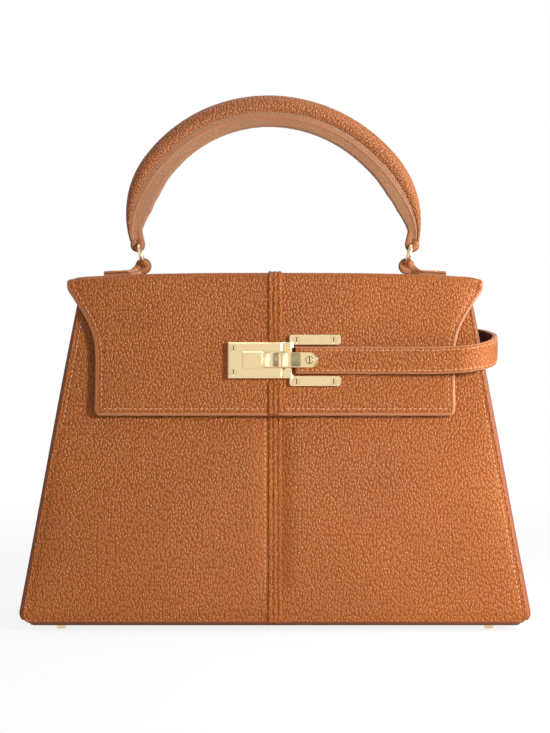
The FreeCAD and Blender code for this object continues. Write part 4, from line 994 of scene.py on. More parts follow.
def lining_wall():
    heights = np.concatenate([np.linspace(12, 214, 40), np.linspace(218, MOUTH_Z - 0.6, 6)])
    rings = []
    for inset, order in ((0.0, heights), (LINING, heights[::-1])):
        for z in order:
            loop = lining_loop(z, inset)
            rings.append(np.column_stack([loop, np.full(len(loop), z)]))
    return np.array(rings)


def closed_rings(name, rings, material):
    """Rings joined one to the next, and the last to the first, into a closed skin."""
    steps, around = rings.shape[:2]
    spots = np.arange(steps * around).reshape(steps, around)
    faces = [[int(spots[i, j]), int(spots[i, (j + 1) % around]),
              int(spots[(i + 1) % steps, (j + 1) % around]), int(spots[(i + 1) % steps, j])]
             for i in range(steps) for j in range(around)]
    flat = rings.reshape(-1, 3)
    grain = np.column_stack([flat[:, 0], flat[:, 2], flat[:, 1]]) * MM
    piece = finish_piece(name, flat, faces, grain, np.full(len(flat), INSIDE_HIDE), material)
    turn_outwards(piece)
    return piece


wall = closed_rings("inner_lining", lining_wall(), lining_finish)
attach(wall, "body")
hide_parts("lining_front", "lining_back", "lining_left", "lining_right")
print("lining:", len(wall.data.polygons), "faces")

# %% [markdown]
# The floor of the lining is a sheet of its own above the base board. Its rim turns up against the wall, so
# that no gap shows where they meet.

# %% Floor of the lining
FLOOR_Z = 9.6
FLOOR_TURN_UP = 1.6


def lining_floor():
    half_x = half_width(FLOOR_Z) - SEAM_RIM - LEATHER - 0.6
    half_y = -front_y(FLOOR_Z, -INNER_FACE - 0.4)
    x = np.repeat(rim_rows(-half_x, half_x, 8.0)[:, None], 40, 1)
    y = np.repeat(np.linspace(-half_y, half_y, 40)[None], x.shape[0], 0)
    edge = np.minimum(half_x - np.abs(x), half_y - np.abs(y))
    lift = FLOOR_TURN_UP * ease(-edge, -7, 0)
    middle = np.stack([x, y, FLOOR_Z + lift], axis=2)
    grain = np.stack([x, y], axis=2)
    return sheet_piece("lining_floor", middle, LINING, edge, grain, (0, 0, 1), lining_finish)


floor_sheet = lining_floor()
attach(floor_sheet, "body")
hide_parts("lining_base")
print("floor of the lining:", len(floor_sheet.data.polygons), "faces")

# %% [markdown]
# The flap is lined too. Its lining follows the same path a little inside the hide, and stops short of the
# edges so that it does not show from the front.

# %% Flap lining
FLAP_LINING = 0.6
LINING_INSET = 2.4
RIM_SHARES = np.array(RIM_STEPS) / 120


def flap_lining():
    rows = rim_rows(back_end + 4, hide_length - LINING_INSET, 4.0)
    along = thinned(np.unique(np.concatenate([rows, front_bend_rows])))
    half = hide_half(along) - LINING_INSET - 2.0 * ease(along, front_start, front_start + 30)
    share = np.concatenate([RIM_SHARES, np.linspace(RIM_SHARES[-1], 1, 30)[1:]])
    share = np.concatenate([-(1 - share), (1 - share)[::-1][1:]])
    x = half[:, None] * share[None]
    run = np.repeat(along[:, None], x.shape[1], 1)
    edge = np.minimum(half[:, None] - np.abs(x), np.minimum(run - along[0], along[-1] - run))
    middle = hide_spot(x, run, -LEATHER / 2 - FLAP_LINING / 2 - 0.05)
    grain = np.stack([x, run], axis=2)
    return sheet_piece("flap_underside", middle, FLAP_LINING, edge, grain, (0, 0, -1),
                       lining_finish)


under = flap_lining()
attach(under, "flap")
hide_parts("flap_lining")
print("flap lining:", len(under.data.polygons), "faces")

# %% [markdown]
# The strap is one long ribbon: sewn flat to the back, bent round the right side, and laid over the flap to
# the lock. Its leather and its dark lining are two swept pieces.

# %% Strap route
STRAP_WIDTH = 17.6
STRAP_IN_X = half_width(LOCK_Z) + 5.0
STRAP_BOW = 3.4
STRAP_BACK_Y = 39.47
STRAP_PAD = 24.0
STRAP_ROOT_X = 66.46
STRAP_FLARE = 9 / 38
STRAP_STAND_Y = STRAP_BACK_Y + (STRAP_IN_X - STRAP_ROOT_X - STRAP_PAD) * STRAP_FLARE
STRAP_OUT = 5.3
STRAP_OUT_AT_RIM = 8.6
STRAP_LOW = LOCK_Z + STRAP_OUT * LEAN_SIN
STRAP_END = (13.2, front_y(STRAP_LOW, STRAP_OUT))
STRAP_KINK = (42.7, front_y(STRAP_LOW, STRAP_OUT))
STRAP_SLANT = (front_y(STRAP_LOW, STRAP_OUT_AT_RIM) - STRAP_KINK[1]) / (FLAP_HALF - STRAP_KINK[0])
STRAP_CORNER = (STRAP_IN_X, STRAP_KINK[1] + STRAP_SLANT * (STRAP_IN_X - STRAP_KINK[0]))
strap_corners = [(STRAP_ROOT_X, STRAP_BACK_Y), (STRAP_ROOT_X + STRAP_PAD, STRAP_BACK_Y),
                 (STRAP_IN_X, STRAP_STAND_Y), STRAP_CORNER, STRAP_KINK, STRAP_END]
strap_line = rounded_path(strap_corners, [60.0, 16.0, 22.0, 120.0], 0.8)
outermost = np.clip((strap_line[:, 1] - 6.0) / 40.0, -1, 1)
strap_line[:, 0] += STRAP_BOW * np.cos(math.pi / 2 * outermost) ** 2 * ease(strap_line[:, 0], 124, 138)
strap_along = line_length(strap_line)
strap_run = np.gradient(strap_line, axis=0)
strap_run /= np.linalg.norm(strap_run, axis=1, keepdims=True)
strap_face = np.column_stack([-strap_run[:, 1], strap_run[:, 0]])
beside_bag = np.nonzero(strap_line[:, 0] > STRAP_IN_X - 0.5)[0]
swing_at = strap_along[beside_bag[0]]
bend_at = strap_along[beside_bag[-1]]
STRAP_RISE = [(0, 5.2), (STRAP_PAD, 5.2), (swing_at - 26, 9.6), (swing_at - 14, 9.6), (swing_at + 4, 8.0),
              (bend_at, 5.4), (bend_at + 26, 1.0), (bend_at + 44, 0.0), (strap_along[-1], 0.0)]
strap_height = STRAP_LOW + smoothed(table_value(STRAP_RISE, strap_along), 25)
upright = ease(strap_along, STRAP_PAD, swing_at) * (1 - ease(strap_along, bend_at, bend_at + 34))
strap_lean = math.atan(LEAN) * (1 - upright)
print("strap length:", round(strap_along[-1], 1), "mm")

# %% [markdown]
# The strap's section is a flat band with round edges and a slight crown on its outer face. It leans with
# the front and back of the bag where it lies on them, and stands upright beside the bag. The same band
# section makes the leather loops of the handle later.

# %% Strap pieces
STRAP_FACE = 3.0
STRAP_LINED = 1.2
STRAP_CROWN = 0.25


def strap_spot(step, across, out):
    """Points on the strap's section: across its width from its middle, and outwards from its inner face."""
    face = np.array([*strap_face[step], 0.0])
    up = np.array([0.0, 0.0, 1.0])
    lean = strap_lean[step]
    wide = up * math.cos(lean) - face * math.sin(lean)
    outwards = face * math.cos(lean) + up * math.sin(lean)
    middle = np.array([*strap_line[step], strap_height[step]])
    return middle + np.outer(across, wide) + np.outer(out, outwards)


def band_section(half, near, far, round_off):
    """A flat closed section with round edges, from the middle of its inner face."""
    depth = (far - near) / 2
    turn = np.linspace(-math.pi / 2, math.pi / 2, 9)
    flat = np.linspace(0, half - round_off, 10)
    edge_x = half - round_off + round_off * np.cos(turn)
    edge_y = near + depth + depth * np.sin(turn)
    across = np.concatenate([flat[:-1], edge_x, flat[::-1][1:],
                             -flat[1:-1], -edge_x[::-1], -flat[::-1][1:-1]])
    out = np.concatenate([np.full(9, near), edge_y, np.full(9, far),
                          np.full(8, far), edge_y[::-1], np.full(8, near)])
    return across, out


def strap_piece(name, near, far, half, material, crown):
    across, out = band_section(half, near, far, (far - near) / 2)
    puff = crown * np.where(out > (near + far) / 2, 1 - (across / half) ** 4, 0)
    rings = np.array([strap_spot(step, across, out + puff) for step in range(len(strap_line))])
    edge = np.repeat((half - np.abs(across))[None], len(strap_along), 0)
    piece = swept_piece(name, rings, edge, flat_grid(strap_along, across + 2000), material)
    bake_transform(piece)
    return piece


strap_half = STRAP_WIDTH / 2
strap_top = strap_piece("side_strap", STRAP_LINED, STRAP_FACE, strap_half,
                        strap_finish, STRAP_CROWN)
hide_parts("strap_leather", "strap_root")
strap_under = strap_piece("side_strap_lining", 0.0, 1.15, strap_half - 0.1, dark_finish, 0.0)
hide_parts("strap_lining")
print("strap:", len(strap_top.data.polygons), "+", len(strap_under.data.polygons), "faces")

# %% [markdown]
# The handle is an arch: two side arcs and a flatter arc over the top. Its outer part is a roll of pebbled
# leather, and inside the arch the two raw sides are sewn together into a smooth fin. Both get thinner
# towards the ends. The roll keeps the arch's outer line, so all the thinning happens on the inside.

# %% Handle line
SIDE_ARC = 65.0
SIDE_CENTRE = (33.0, 267.0)
TOP_ARC = 107.0
HANDLE_TOP = 348.0
HANDLE_LEAN = 4.4
RING_Z = 242.426
JOINT_ANGLE = math.atan2(SIDE_CENTRE[1] - (HANDLE_TOP - TOP_ARC), SIDE_CENTRE[0])
END_ANGLE = math.radians(-14.0)
side_turn = np.linspace(END_ANGLE, JOINT_ANGLE, 60)
top_turn = np.linspace(JOINT_ANGLE, math.pi / 2, 70)[1:]
arch_x = np.concatenate([SIDE_CENTRE[0] + SIDE_ARC * np.cos(side_turn), TOP_ARC * np.cos(top_turn)])
arch_z = np.concatenate([SIDE_CENTRE[1] + SIDE_ARC * np.sin(side_turn),
                         HANDLE_TOP - TOP_ARC + TOP_ARC * np.sin(top_turn)])
arch_turn = np.concatenate([side_turn, top_turn])
arch_x = np.concatenate([arch_x, -arch_x[-2::-1]])
arch_z = np.concatenate([arch_z, arch_z[-2::-1]])
arch_in = np.concatenate([arch_turn, math.pi - arch_turn[-2::-1]])
arch_share = np.degrees(np.concatenate([arch_turn, arch_turn[-2::-1]]))
arch_along = line_length(np.column_stack([arch_x, arch_z]))
print("handle length:", round(arch_along[-1], 1), "mm")

# %% [markdown]
# One table gives the sections of the handle by the angle along the arch, from -13 degrees near its ends to
# 90 at its top: how thick the roll is, how deep the fin under it, and half the width of both. The right
# side is a little thicker in the roll and shallower in the fin.

# %% Sizes along the handle
HANDLE_AT = np.array([(-13, 2.2, 5.6, 3.9), (-8, 2.8, 6.9, 4.1), (-2, 4.4, 8.4, 4.2),
                      (5, 6.6, 9.8, 4.5), (12, 8.6, 9.6, 5.0), (19, 10.6, 9.4, 5.6),
                      (27, 11.8, 9.0, 6.2), (45, 13.4, 8.0, 7.0), (90, 14.4, 6.6, 7.6)])
ROLL_SKEW = 0.07
FIN_SKEW = 0.12
HANDLE_HALF = 98.0
roll_thick, fin_deep, handle_wide = (np.interp(arch_share, HANDLE_AT[:, 0], HANDLE_AT[:, k])
                                     for k in (1, 2, 3))
roll_thick = roll_thick * (1 + ROLL_SKEW * arch_x / HANDLE_HALF)
fin_deep = fin_deep * (1 - FIN_SKEW * arch_x / HANDLE_HALF)
print("roll:", round(roll_thick.min(), 1), "to", round(roll_thick.max(), 1), "mm thick")

# %% [markdown]
# The roll is an oval swept along the arch, with its grain seam turned to the inside. The fin starts inside
# the roll and has a small lip where it comes out, sloping sides and a round lower edge.

# %% Handle roll and fin
FIN_ROUND = 1.5
LIP = 0.4
LIP_OUT = 0.35


def arch_ring(step, inward, across):
    """Points of a section of the handle, inwards from the outer line and across to the front."""
    turn = arch_in[step]
    z = arch_z[step] - inward * math.sin(turn)
    x = arch_x[step] - inward * math.cos(turn) - HANDLE_LEAN * (z - RING_Z) / (HANDLE_TOP - RING_Z)
    return np.column_stack([x, across, z])


def handle_roll():
    turn = np.linspace(0, 2 * math.pi, 33)[:-1]
    rings = [arch_ring(step, thick / 2 + thick / 2 * np.cos(turn), wide * np.sin(turn))
             for step, (thick, wide) in enumerate(zip(roll_thick, handle_wide))]
    grain = flat_grid(arch_along * 0.9, turn * 6.5 + 2400)
    edge = np.full(grain.shape[:2], INSIDE_HIDE)
    return swept_piece("handle_roll", np.array(rings), edge, grain, handle_finish)


def fin_section(thick, deep, wide):
    """A closed section under the roll: a lip where it leaves it, sloping sides and a round lower edge."""
    drop = np.concatenate([[-0.5 * thick], np.linspace(-1.2, 1.6, 8), np.linspace(2.4, deep - FIN_ROUND, 7)])
    drop = np.maximum(drop, -0.5 * thick)
    half = wide * (0.84 - 0.26 * np.clip(drop / deep, 0, 1)) + LIP_OUT * np.exp(-((drop - LIP) / 0.5) ** 2)
    turn = np.linspace(0, math.pi, 11)[1:-1]
    inward = np.concatenate([drop, deep - FIN_ROUND + FIN_ROUND * np.sin(turn), drop[::-1]])
    across = np.concatenate([half, half[-1] * np.cos(turn), -half[::-1]])
    return inward, across


def handle_fin():
    rings = []
    drops = []
    for step, sizes in enumerate(zip(roll_thick, fin_deep, handle_wide)):
        inward, across = fin_section(*sizes)
        rings.append(arch_ring(step, sizes[0] + inward, across))
        drops.append(inward)
    drops = np.array(drops)
    grain = np.stack([np.repeat(arch_along[:, None], drops.shape[1], 1), drops + 2800], axis=2)
    edge = np.abs(drops - LIP)
    return swept_piece("handle_fin", np.array(rings), edge, grain, smooth_finish)


roll = handle_roll()
fin = handle_fin()
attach(roll, "handle")
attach(fin, "handle")
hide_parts("handle_wrap")
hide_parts("handle_inner_strip")
print("handle:", len(roll.data.polygons), "+", len(fin.data.polygons), "faces")

# %% [markdown]
# Each end of the handle turns into a small leather loop round a gold ring, and the same ring is held by a
# tab that is folded round it and lies on the flap. Loops and tabs are bands bent along a drawn line, so one
# function makes both. It works in the plane of the front view and mirrors the band by the sign of x.

# %% Bent bands
BAND_STEP = 0.5


def bent_band(name, line, half_at, thick_at, finish, sign):
    """A band bent along a line in the x-z plane; two functions give its half width and its thickness."""
    line = even_line(np.array(line, float), BAND_STEP)
    run = np.gradient(line, axis=0)
    run /= np.linalg.norm(run, axis=1, keepdims=True)
    along = line_length(line)
    rings = []
    edges = []
    for place, way, step in zip(line, run, along):
        half = half_at(step)
        thick = thick_at(step)
        across, out = band_section(half, -thick / 2, thick / 2, min(thick / 2, 1.0))
        spot = place + np.outer(out, [-way[1], way[0]])
        rings.append(np.column_stack([sign * spot[:, 0], across, spot[:, 1]]))
        edges.append(half - np.abs(across))
    grain = flat_grid(along, across + 3200)
    return swept_piece(name, np.array(rings), np.array(edges), grain, finish)


def arc_points(centre, radius, start, stop, count=24):
    turn = np.radians(np.linspace(start, stop, count))
    return [(centre[0] + radius * math.cos(t), centre[1] + radius * math.sin(t)) for t in turn]


print("band maker ready, one ring of points each", BAND_STEP, "mm")

# %% [markdown]
# Seen from the front, both knobs are thick: the leather is 4.3 mm in the handle's loop and 4.7 mm in the
# tab, where they go round the ring. The handle's loop closes inside the end of the handle. The tab is wider
# and thinner where its two layers lie on the flap.

# %% Shapes of the loops and tabs
LOOP_HALF = 3.0
LOOP_CENTRE = (91.2, 248.9)
LOOP_RADIUS = 2.7
LOOP_THICK = 4.3
KNOB_CENTRE = (87.5, 234.7)
KNOB_RADIUS = 3.0
KNOB_THICK = 4.7
TAB_LOW = 231.5
TAB_HIGH = 233.05
TAB_END_X = 113.4
TAB_HALF = 8.0
TAB_THICK = 1.5
KNOB_NARROWER = 4.8


def upper_loop(name, sign):
    line = [(93.2, 258.5), (93.5, 253.0)] + arc_points(LOOP_CENTRE, LOOP_RADIUS, 12, -190)
    line += [(89.3, 253.0), (90.6, 258.5)]
    return bent_band(name, line, lambda step: LOOP_HALF, lambda step: LOOP_THICK, knob_shade_finish, sign)


def flap_drop(x):
    """How far the flap's top has come down where a tab lies on it."""
    return top_sag(x) + rear_slope(0.0)


def lower_tab(name, sign):
    line = [(x, TAB_LOW - flap_drop(x)) for x in np.linspace(TAB_END_X, 91, 12)]
    line += arc_points(KNOB_CENTRE, KNOB_RADIUS, 275, -5, 40)
    line += [(92.0, 233.0), (93.6, 232.1)]
    line += [(x, TAB_HIGH - flap_drop(x)) for x in np.linspace(95.5, TAB_END_X, 10)]
    length = line_length(even_line(np.array(line, float), BAND_STEP))[-1]

    def round_ring(step):
        return ease(step, 17, 25) - ease(step, length - 23, length - 15)

    return bent_band(name, line, lambda step: TAB_HALF - KNOB_NARROWER * round_ring(step),
                     lambda step: TAB_THICK + (KNOB_THICK - TAB_THICK) * round_ring(step), knob_shade_finish, sign)


print("flap comes down by", round(float(flap_drop(TAB_END_X)), 1), "mm at the end of a tab")

# %% [markdown]
# A rivet goes through each tab and the flap. Only its nearly flat head shows, and it is turned from one
# profile of radius and height, as on a lathe.

# %% Tab rivets
RIVET_X = 106.0
RIVET_PROFILE = [(1.2, -3.4), (1.2, -0.1), (3.0, -0.1), (3.0, 0.05), (2.7, 0.2), (1.6, 0.3), (0.5, 0.35)]
RIVET_STEPS = 24
rivet_face = TAB_HIGH + TAB_THICK / 2 - flap_drop(RIVET_X)
rivet_turn = np.linspace(0, 2 * math.pi, RIVET_STEPS + 1)[:-1]


def rivet_head(name, x):
    rings = [np.column_stack([x + radius * np.cos(rivet_turn), radius * np.sin(rivet_turn),
                              np.full(RIVET_STEPS, rivet_face + up)]) for radius, up in RIVET_PROFILE]
    grain = np.zeros((len(RIVET_PROFILE), RIVET_STEPS, 2))
    edge = np.full(grain.shape[:2], INSIDE_HIDE)
    return swept_piece(name, np.array(rings), edge, grain, gold_finish)


for side_name, sign in SIDES:
    head = rivet_head(f"rivet_head_{side_name}", sign * RIVET_X)
    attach(head, "flap")
    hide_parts("tab_rivets")
    print(head.name, len(head.data.polygons), "faces")

# %% [markdown]
# The rings are drawn again as round wire, because they lean a little, as they hang on the real bag. Then
# each side gets its loop, its tab and its ring. The ring and the loop move with the handle, and the tab
# stays on the flap.

# %% Rings, and all pieces of both ends
RING_X = 89.0
RING_RADIUS = 7.4
RING_WIRE = 1.35
RING_LEAN = 1.6


def ring_piece(name, sign):
    turn = np.linspace(0, 2 * math.pi, 49)[:-1]
    small = np.linspace(0, 2 * math.pi, 17)[:-1]
    rings = []
    for angle in turn:
        reach = RING_RADIUS + RING_WIRE * np.cos(small)
        y = reach * math.cos(angle)
        z = reach * math.sin(angle)
        x = RING_X + RING_LEAN * z / RING_RADIUS + RING_WIRE * np.sin(small)
        rings.append(np.column_stack([sign * x, y, RING_Z + z]))
    return closed_rings(name, np.array(rings), gold_finish)


for side_name, sign in SIDES:
    loop = upper_loop(f"end_loop_{side_name}", sign)
    tab = lower_tab(f"flap_tab_{side_name}", sign)
    metal_ring = ring_piece(f"gold_ring_{side_name}", sign)
    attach(loop, "handle")
    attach(tab, "flap")
    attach(metal_ring, "handle")
    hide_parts(f"handle_loop_{side_name}")
    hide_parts(f"handle_tab_{side_name}")
    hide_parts(f"ring_{side_name}")
    print(loop.name, tab.name, metal_ring.name)

# %% [markdown]
# The strap ends in a gold tongue. It is a wavy bar: a hump at its tail, a trough, a higher hump over the
# web of the guide and a long slope down to a round flat end. The slopes are what make its bright and dark
# bands, so it is swept here through one smooth profile, with the long edges bevelled.

# %% Tongue
TONGUE_HALF = 5.0
TONGUE_TAIL = -6.8
TONGUE_TIP = 27.7
TIP_START = 22.0
TIP_RADIUS = 4.7
TONGUE_BEVEL = 0.9
TONGUE_SIDES = 10
TONGUE_UNDER = [(-7.0, 7.5), (3.4, 7.5), (5.0, 9.2), (13.6, 9.2), (15.6, 8.45), (28.0, 8.45)]
TONGUE_TOP = [(-7.0, 8.9), (-5.4, 9.45), (-3.4, 10.0), (-2.0, 10.2), (-1.0, 10.1), (2.4, 9.25), (3.2, 9.25),
              (4.6, 9.9), (6.4, 10.5), (8.6, 11.1), (9.8, 11.25), (10.8, 11.1), (16.4, 9.8), (17.6, 9.75),
              (28.0, 9.75)]


def lock_spot(x, up, out):
    """A point on the lock's plane: across, up the slope from the lock's middle, and outwards."""
    y = front_y(LOCK_Z) + up * LEAN_SIN - out * LEAN_COS
    return np.column_stack([x + 0 * up, y, LOCK_Z + up * LEAN_COS + out * LEAN_SIN])


def tongue_piece():
    tip_steps = np.sin(np.linspace(0, math.pi / 2, 16))[1:]
    places = np.concatenate([np.linspace(TONGUE_TAIL, TIP_START, 90),
                             TIP_START + (TONGUE_TIP - TIP_START) * tip_steps])
    fine = np.linspace(TONGUE_TOP[0][0], TONGUE_TOP[-1][0], 701)
    top = smoothed(table_value(TONGUE_TOP, fine), 31)
    rings = []
    for x in places:
        half = TONGUE_HALF - corner_cut(np.array(TONGUE_TIP - x), TIP_RADIUS)
        high = np.interp(x, fine, top)
        low = table_value(TONGUE_UNDER, x)
        bevel = min(TONGUE_BEVEL, 0.6 * half)
        up = np.array([0, half, half, half - 0.3 * bevel, half - bevel,
                       0, bevel - half, 0.3 * bevel - half, -half, -half])
        out = np.array([low, low, high - 0.6, high - 0.2, high,
                        high, high, high - 0.2, high - 0.6, low])
        rings.append(lock_spot(x, up, out))
    grain = np.zeros((len(places), TONGUE_SIDES, 2))
    edge = np.full(grain.shape[:2], INSIDE_HIDE)
    return swept_piece("gold_tongue", np.array(rings), edge, grain, gold_finish)


tongue = tongue_piece()
sharp = tongue.modifiers.new("bevel", "BEVEL")
sharp.width = 0.0002
sharp.segments = 1
sharp.limit_method = "ANGLE"
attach(tongue, "strap")
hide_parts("tongue")
print("tongue:", len(tongue.data.polygons), "faces")

# %% [markdown]
# The rest of the metal keeps its CAD shape, so it only needs its finish: each CAD node gets the material of
# its slot in the record, apart from the few with a finish of their own.

# %% Finishes for the CAD nodes
SLOT_FINISH = {"gold_metal": gold_finish, "spring_steel": steel_finish, "stiffener": board_finish,
               "handle_core": core_finish, "grained_leather": body_finish, "smooth_leather": smooth_finish,
               "dark_leather": dark_finish, "lining": lining_finish}
dressed = 0
for part in frame["record"]["subparts"]:
    node = frame["nodes"][part["node"]]
    node.data.materials.clear()
    node.data.materials.append(NODE_FINISH.get(part["node"], SLOT_FINISH[part["material_slot"]]))
    dressed += not node.hide_render
print("CAD nodes shown:", dressed)

# %% [markdown]
# Stitches repeat hundreds of times, so Geometry Nodes make them: one low thread bead is set on every point
# of a row, turned along the row and off the hide. Python only works out the rows, with a tangent and a
# normal at each point. Every bead gets a slight seeded twist, because hand-guided stitches are never quite
# in line.

# %% Stitch tree
def stitch_tree():
    tree = bpy.data.node_groups.new("thread_stitches", "GeometryNodeTree")
    face = tree.interface
    face.new_socket("Rows", in_out="INPUT", socket_type="NodeSocketGeometry")
    sizes = {}
    for name, value in (("Stitch Length", 0.0026), ("Thread Width", 0.0008), ("Thread Height", 0.00055)):
        sizes[name] = face.new_socket(name, in_out="INPUT", socket_type="NodeSocketFloat")
        sizes[name].default_value = value
    sizes["Seed"] = face.new_socket("Seed", in_out="INPUT", socket_type="NodeSocketInt")
    sizes["Thread"] = face.new_socket("Thread", in_out="INPUT", socket_type="NodeSocketMaterial")
    face.new_socket("Stitches", in_out="OUTPUT", socket_type="NodeSocketGeometry")
    return tree, {name: socket.identifier for name, socket in sizes.items()}


def wire_stitches(tree):
    entry = tree.nodes.new("NodeGroupInput")
    leave = tree.nodes.new("NodeGroupOutput")
    bead = node_of(tree, "GeometryNodeMeshUVSphere", Segments=8, Rings=5, Radius=0.5)
    shape = tree.nodes.new("ShaderNodeCombineXYZ")
    sized = tree.nodes.new("GeometryNodeTransform")
    upright_way = named_vector(tree, "off_hide")
    row_way = named_vector(tree, "along_row")
    turned = tree.nodes.new("FunctionNodeAxesToRotation")
    turned.primary_axis = "Z"
    turned.secondary_axis = "X"
    spin = tree.nodes.new("FunctionNodeRandomValue")
    spin.data_type = "FLOAT"
    spin.inputs[2].default_value = 0.04
    spin.inputs[3].default_value = 0.16
    twist = tree.nodes.new("FunctionNodeAxisAngleToRotation")
    joined = tree.nodes.new("FunctionNodeRotateRotation")
    joined.rotation_space = "LOCAL"
    spread = tree.nodes.new("GeometryNodeInstanceOnPoints")
    real = tree.nodes.new("GeometryNodeRealizeInstances")
    smooth = tree.nodes.new("GeometryNodeSetShadeSmooth")
    paint = tree.nodes.new("GeometryNodeSetMaterial")
    pairs = [(entry.outputs["Stitch Length"], shape.inputs[0]),
             (entry.outputs["Thread Width"], shape.inputs[1]),
             (entry.outputs["Thread Height"], shape.inputs[2]),
             (bead.outputs["Mesh"], sized.inputs["Geometry"]),
             (shape.outputs[0], sized.inputs["Scale"]),
             (upright_way, turned.inputs["Primary Axis"]),
             (row_way, turned.inputs["Secondary Axis"]),
             (entry.outputs["Seed"], spin.inputs["Seed"]),
             (spin.outputs[1], twist.inputs["Angle"]),
             (turned.outputs[0], joined.inputs["Rotation"]),
             (twist.outputs[0], joined.inputs["Rotate By"]),
             (entry.outputs["Rows"], spread.inputs["Points"]),
             (sized.outputs[0], spread.inputs["Instance"]),
             (joined.outputs[0], spread.inputs["Rotation"]),
             (spread.outputs[0], real.inputs[0]),
             (real.outputs[0], smooth.inputs["Geometry"]),
             (smooth.outputs[0], paint.inputs["Geometry"]),
             (entry.outputs["Thread"], paint.inputs["Material"]),
             (paint.outputs[0], leave.inputs[0])]
    for source, target in pairs:
        tree.links.new(source, target)


def named_vector(tree, name):
    node = tree.nodes.new("GeometryNodeInputNamedAttribute")
    node.data_type = "FLOAT_VECTOR"
    node.inputs["Name"].default_value = name
    return node.outputs["Attribute"]


thread_tree, thread_inputs = stitch_tree()
wire_stitches(thread_tree)
print("stitch tree:", len(thread_tree.nodes), "nodes")

# %% [markdown]
# The rows follow the same functions that shaped the pieces. On the body they run up the sides of the front
# and back and beside the centre welts, and on the flap along its sides, beside its welt and along its lower
# edge. The bulge is read at the stitch's own side here, while both front halves have the right side's, so
# below the flap the row along the front's left rim lies under its leather.

# %% Stitch rows
PITCH = 3.3
BESIDE_FRONT_WELT = 6.5
BESIDE_BACK_WELT = 6.2
BESIDE_FLAP_WELT = 6.4
CLEAR_OF_LOCK = 20.0
rows_of = {"body": [], "flap": [], "strap": []}


def add_row(body, points, normals):
    """Resamples a row at the stitch pitch and keeps its points, directions and normals."""
    points = np.asarray(points, float)
    normals = np.asarray(normals, float)
    gone = line_length(points)
    stops = np.arange(PITCH / 2, gone[-1] - PITCH / 4, PITCH)
    if len(stops) < 2:
        return
    spots, off = (np.column_stack([np.interp(stops, gone, table[:, k]) for k in range(3)])
                  for table in (points, normals))
    rows_of[body].append((spots, np.gradient(spots, axis=0), off))


def front_row(x, z):
    z = np.asarray(z, float)
    x = np.asarray(x, float) + 0 * z
    off = np.column_stack([0 * z, 0 * z - LEAN_COS, 0 * z + LEAN_SIN])
    add_row("body", front_spot(x, z, -0.25), off)


panel_z = np.linspace(PANEL_LOW + 9, 224, 120)
for sign in (-1, 1):
    front_row(sign * (half_width(panel_z) - SIDE_IN - THREAD_IN), panel_z)
    front_row(sign * BESIDE_FRONT_WELT, panel_z)


def hide_row(body, x, along):
    """A row on the back or flap hide, with the hide's own normal."""
    x = np.asarray(x, float) + 0 * along
    low = hide_spot(x, along, LEATHER / 2 - 0.3)
    off = hide_spot(x, along, LEATHER / 2 + 0.7) - low
    add_row(body, low, off)


back_run = np.linspace(9, back_end - 12, 120)
flap_run = np.linspace(back_end + 8, hide_length - THREAD_IN, 120)
low_x = np.linspace(BESIDE_FRONT_WELT, FLAP_HALF - THREAD_IN - 0.6, 60)
for sign in (-1, 1):
    hide_row("body", sign * (hide_half(back_run) - THREAD_IN), back_run)
    hide_row("body", sign * BESIDE_BACK_WELT, back_run)
    hide_row("flap", sign * (hide_half(flap_run) - THREAD_IN), flap_run)
    hide_row("flap", sign * low_x, np.full(60, hide_length - THREAD_IN))
    for start, stop in ((back_end + 8, height_place(LOCK_Z + CLEAR_OF_LOCK)),
                        (height_place(LOCK_Z - CLEAR_OF_LOCK), hide_length - 7)):
        hide_row("flap", sign * BESIDE_FLAP_WELT, np.linspace(start, stop, 60))
print("stitches on hide:", sum(len(row[0]) for rows in rows_of.values() for row in rows))

# %% [markdown]
# The strap has a row along each edge of its leather. A stitch is stiff and rides on one body, so the rows
# leave out the stretch that bends when the strap swings: one part is on the sewn root, and one on the strap
# beyond the bend.

# %% Strap rows
STRAP_THREAD_IN = 2.2
STRAP_ROW_END_X = 16.0
THREAD_OUT = STRAP_FACE + 0.05


def strap_row(body, steps, across):
    face = [strap_spot(step, np.array([across]), np.array([THREAD_OUT]))[0] for step in steps]
    off = [strap_spot(step, np.array([across]), np.array([THREAD_OUT + 1]))[0] for step in steps]
    add_row(body, face, np.array(off) - np.array(face))


past_bend = (strap_along > swing_at + 26) | (strap_line[:, 1] < 0)
moving = np.nonzero(past_bend & (strap_line[:, 0] > STRAP_ROW_END_X))[0]
sewn = np.nonzero((strap_along > 3) & (strap_along < STRAP_PAD - 2))[0]
for across in (-strap_half + STRAP_THREAD_IN, strap_half - STRAP_THREAD_IN):
    strap_row("strap", moving, across)
    strap_row("body", sewn, across)
print("all stitches:", sum(len(row[0]) for rows in rows_of.values() for row in rows))

# %% [markdown]
# The rows of each body become one mesh of loose points that carries the tree as a modifier. A modifier's
# input is set by the identifier of its socket. The evaluated result is turned into a plain mesh, because
# instances would be lost in an export, and the carrier is removed.

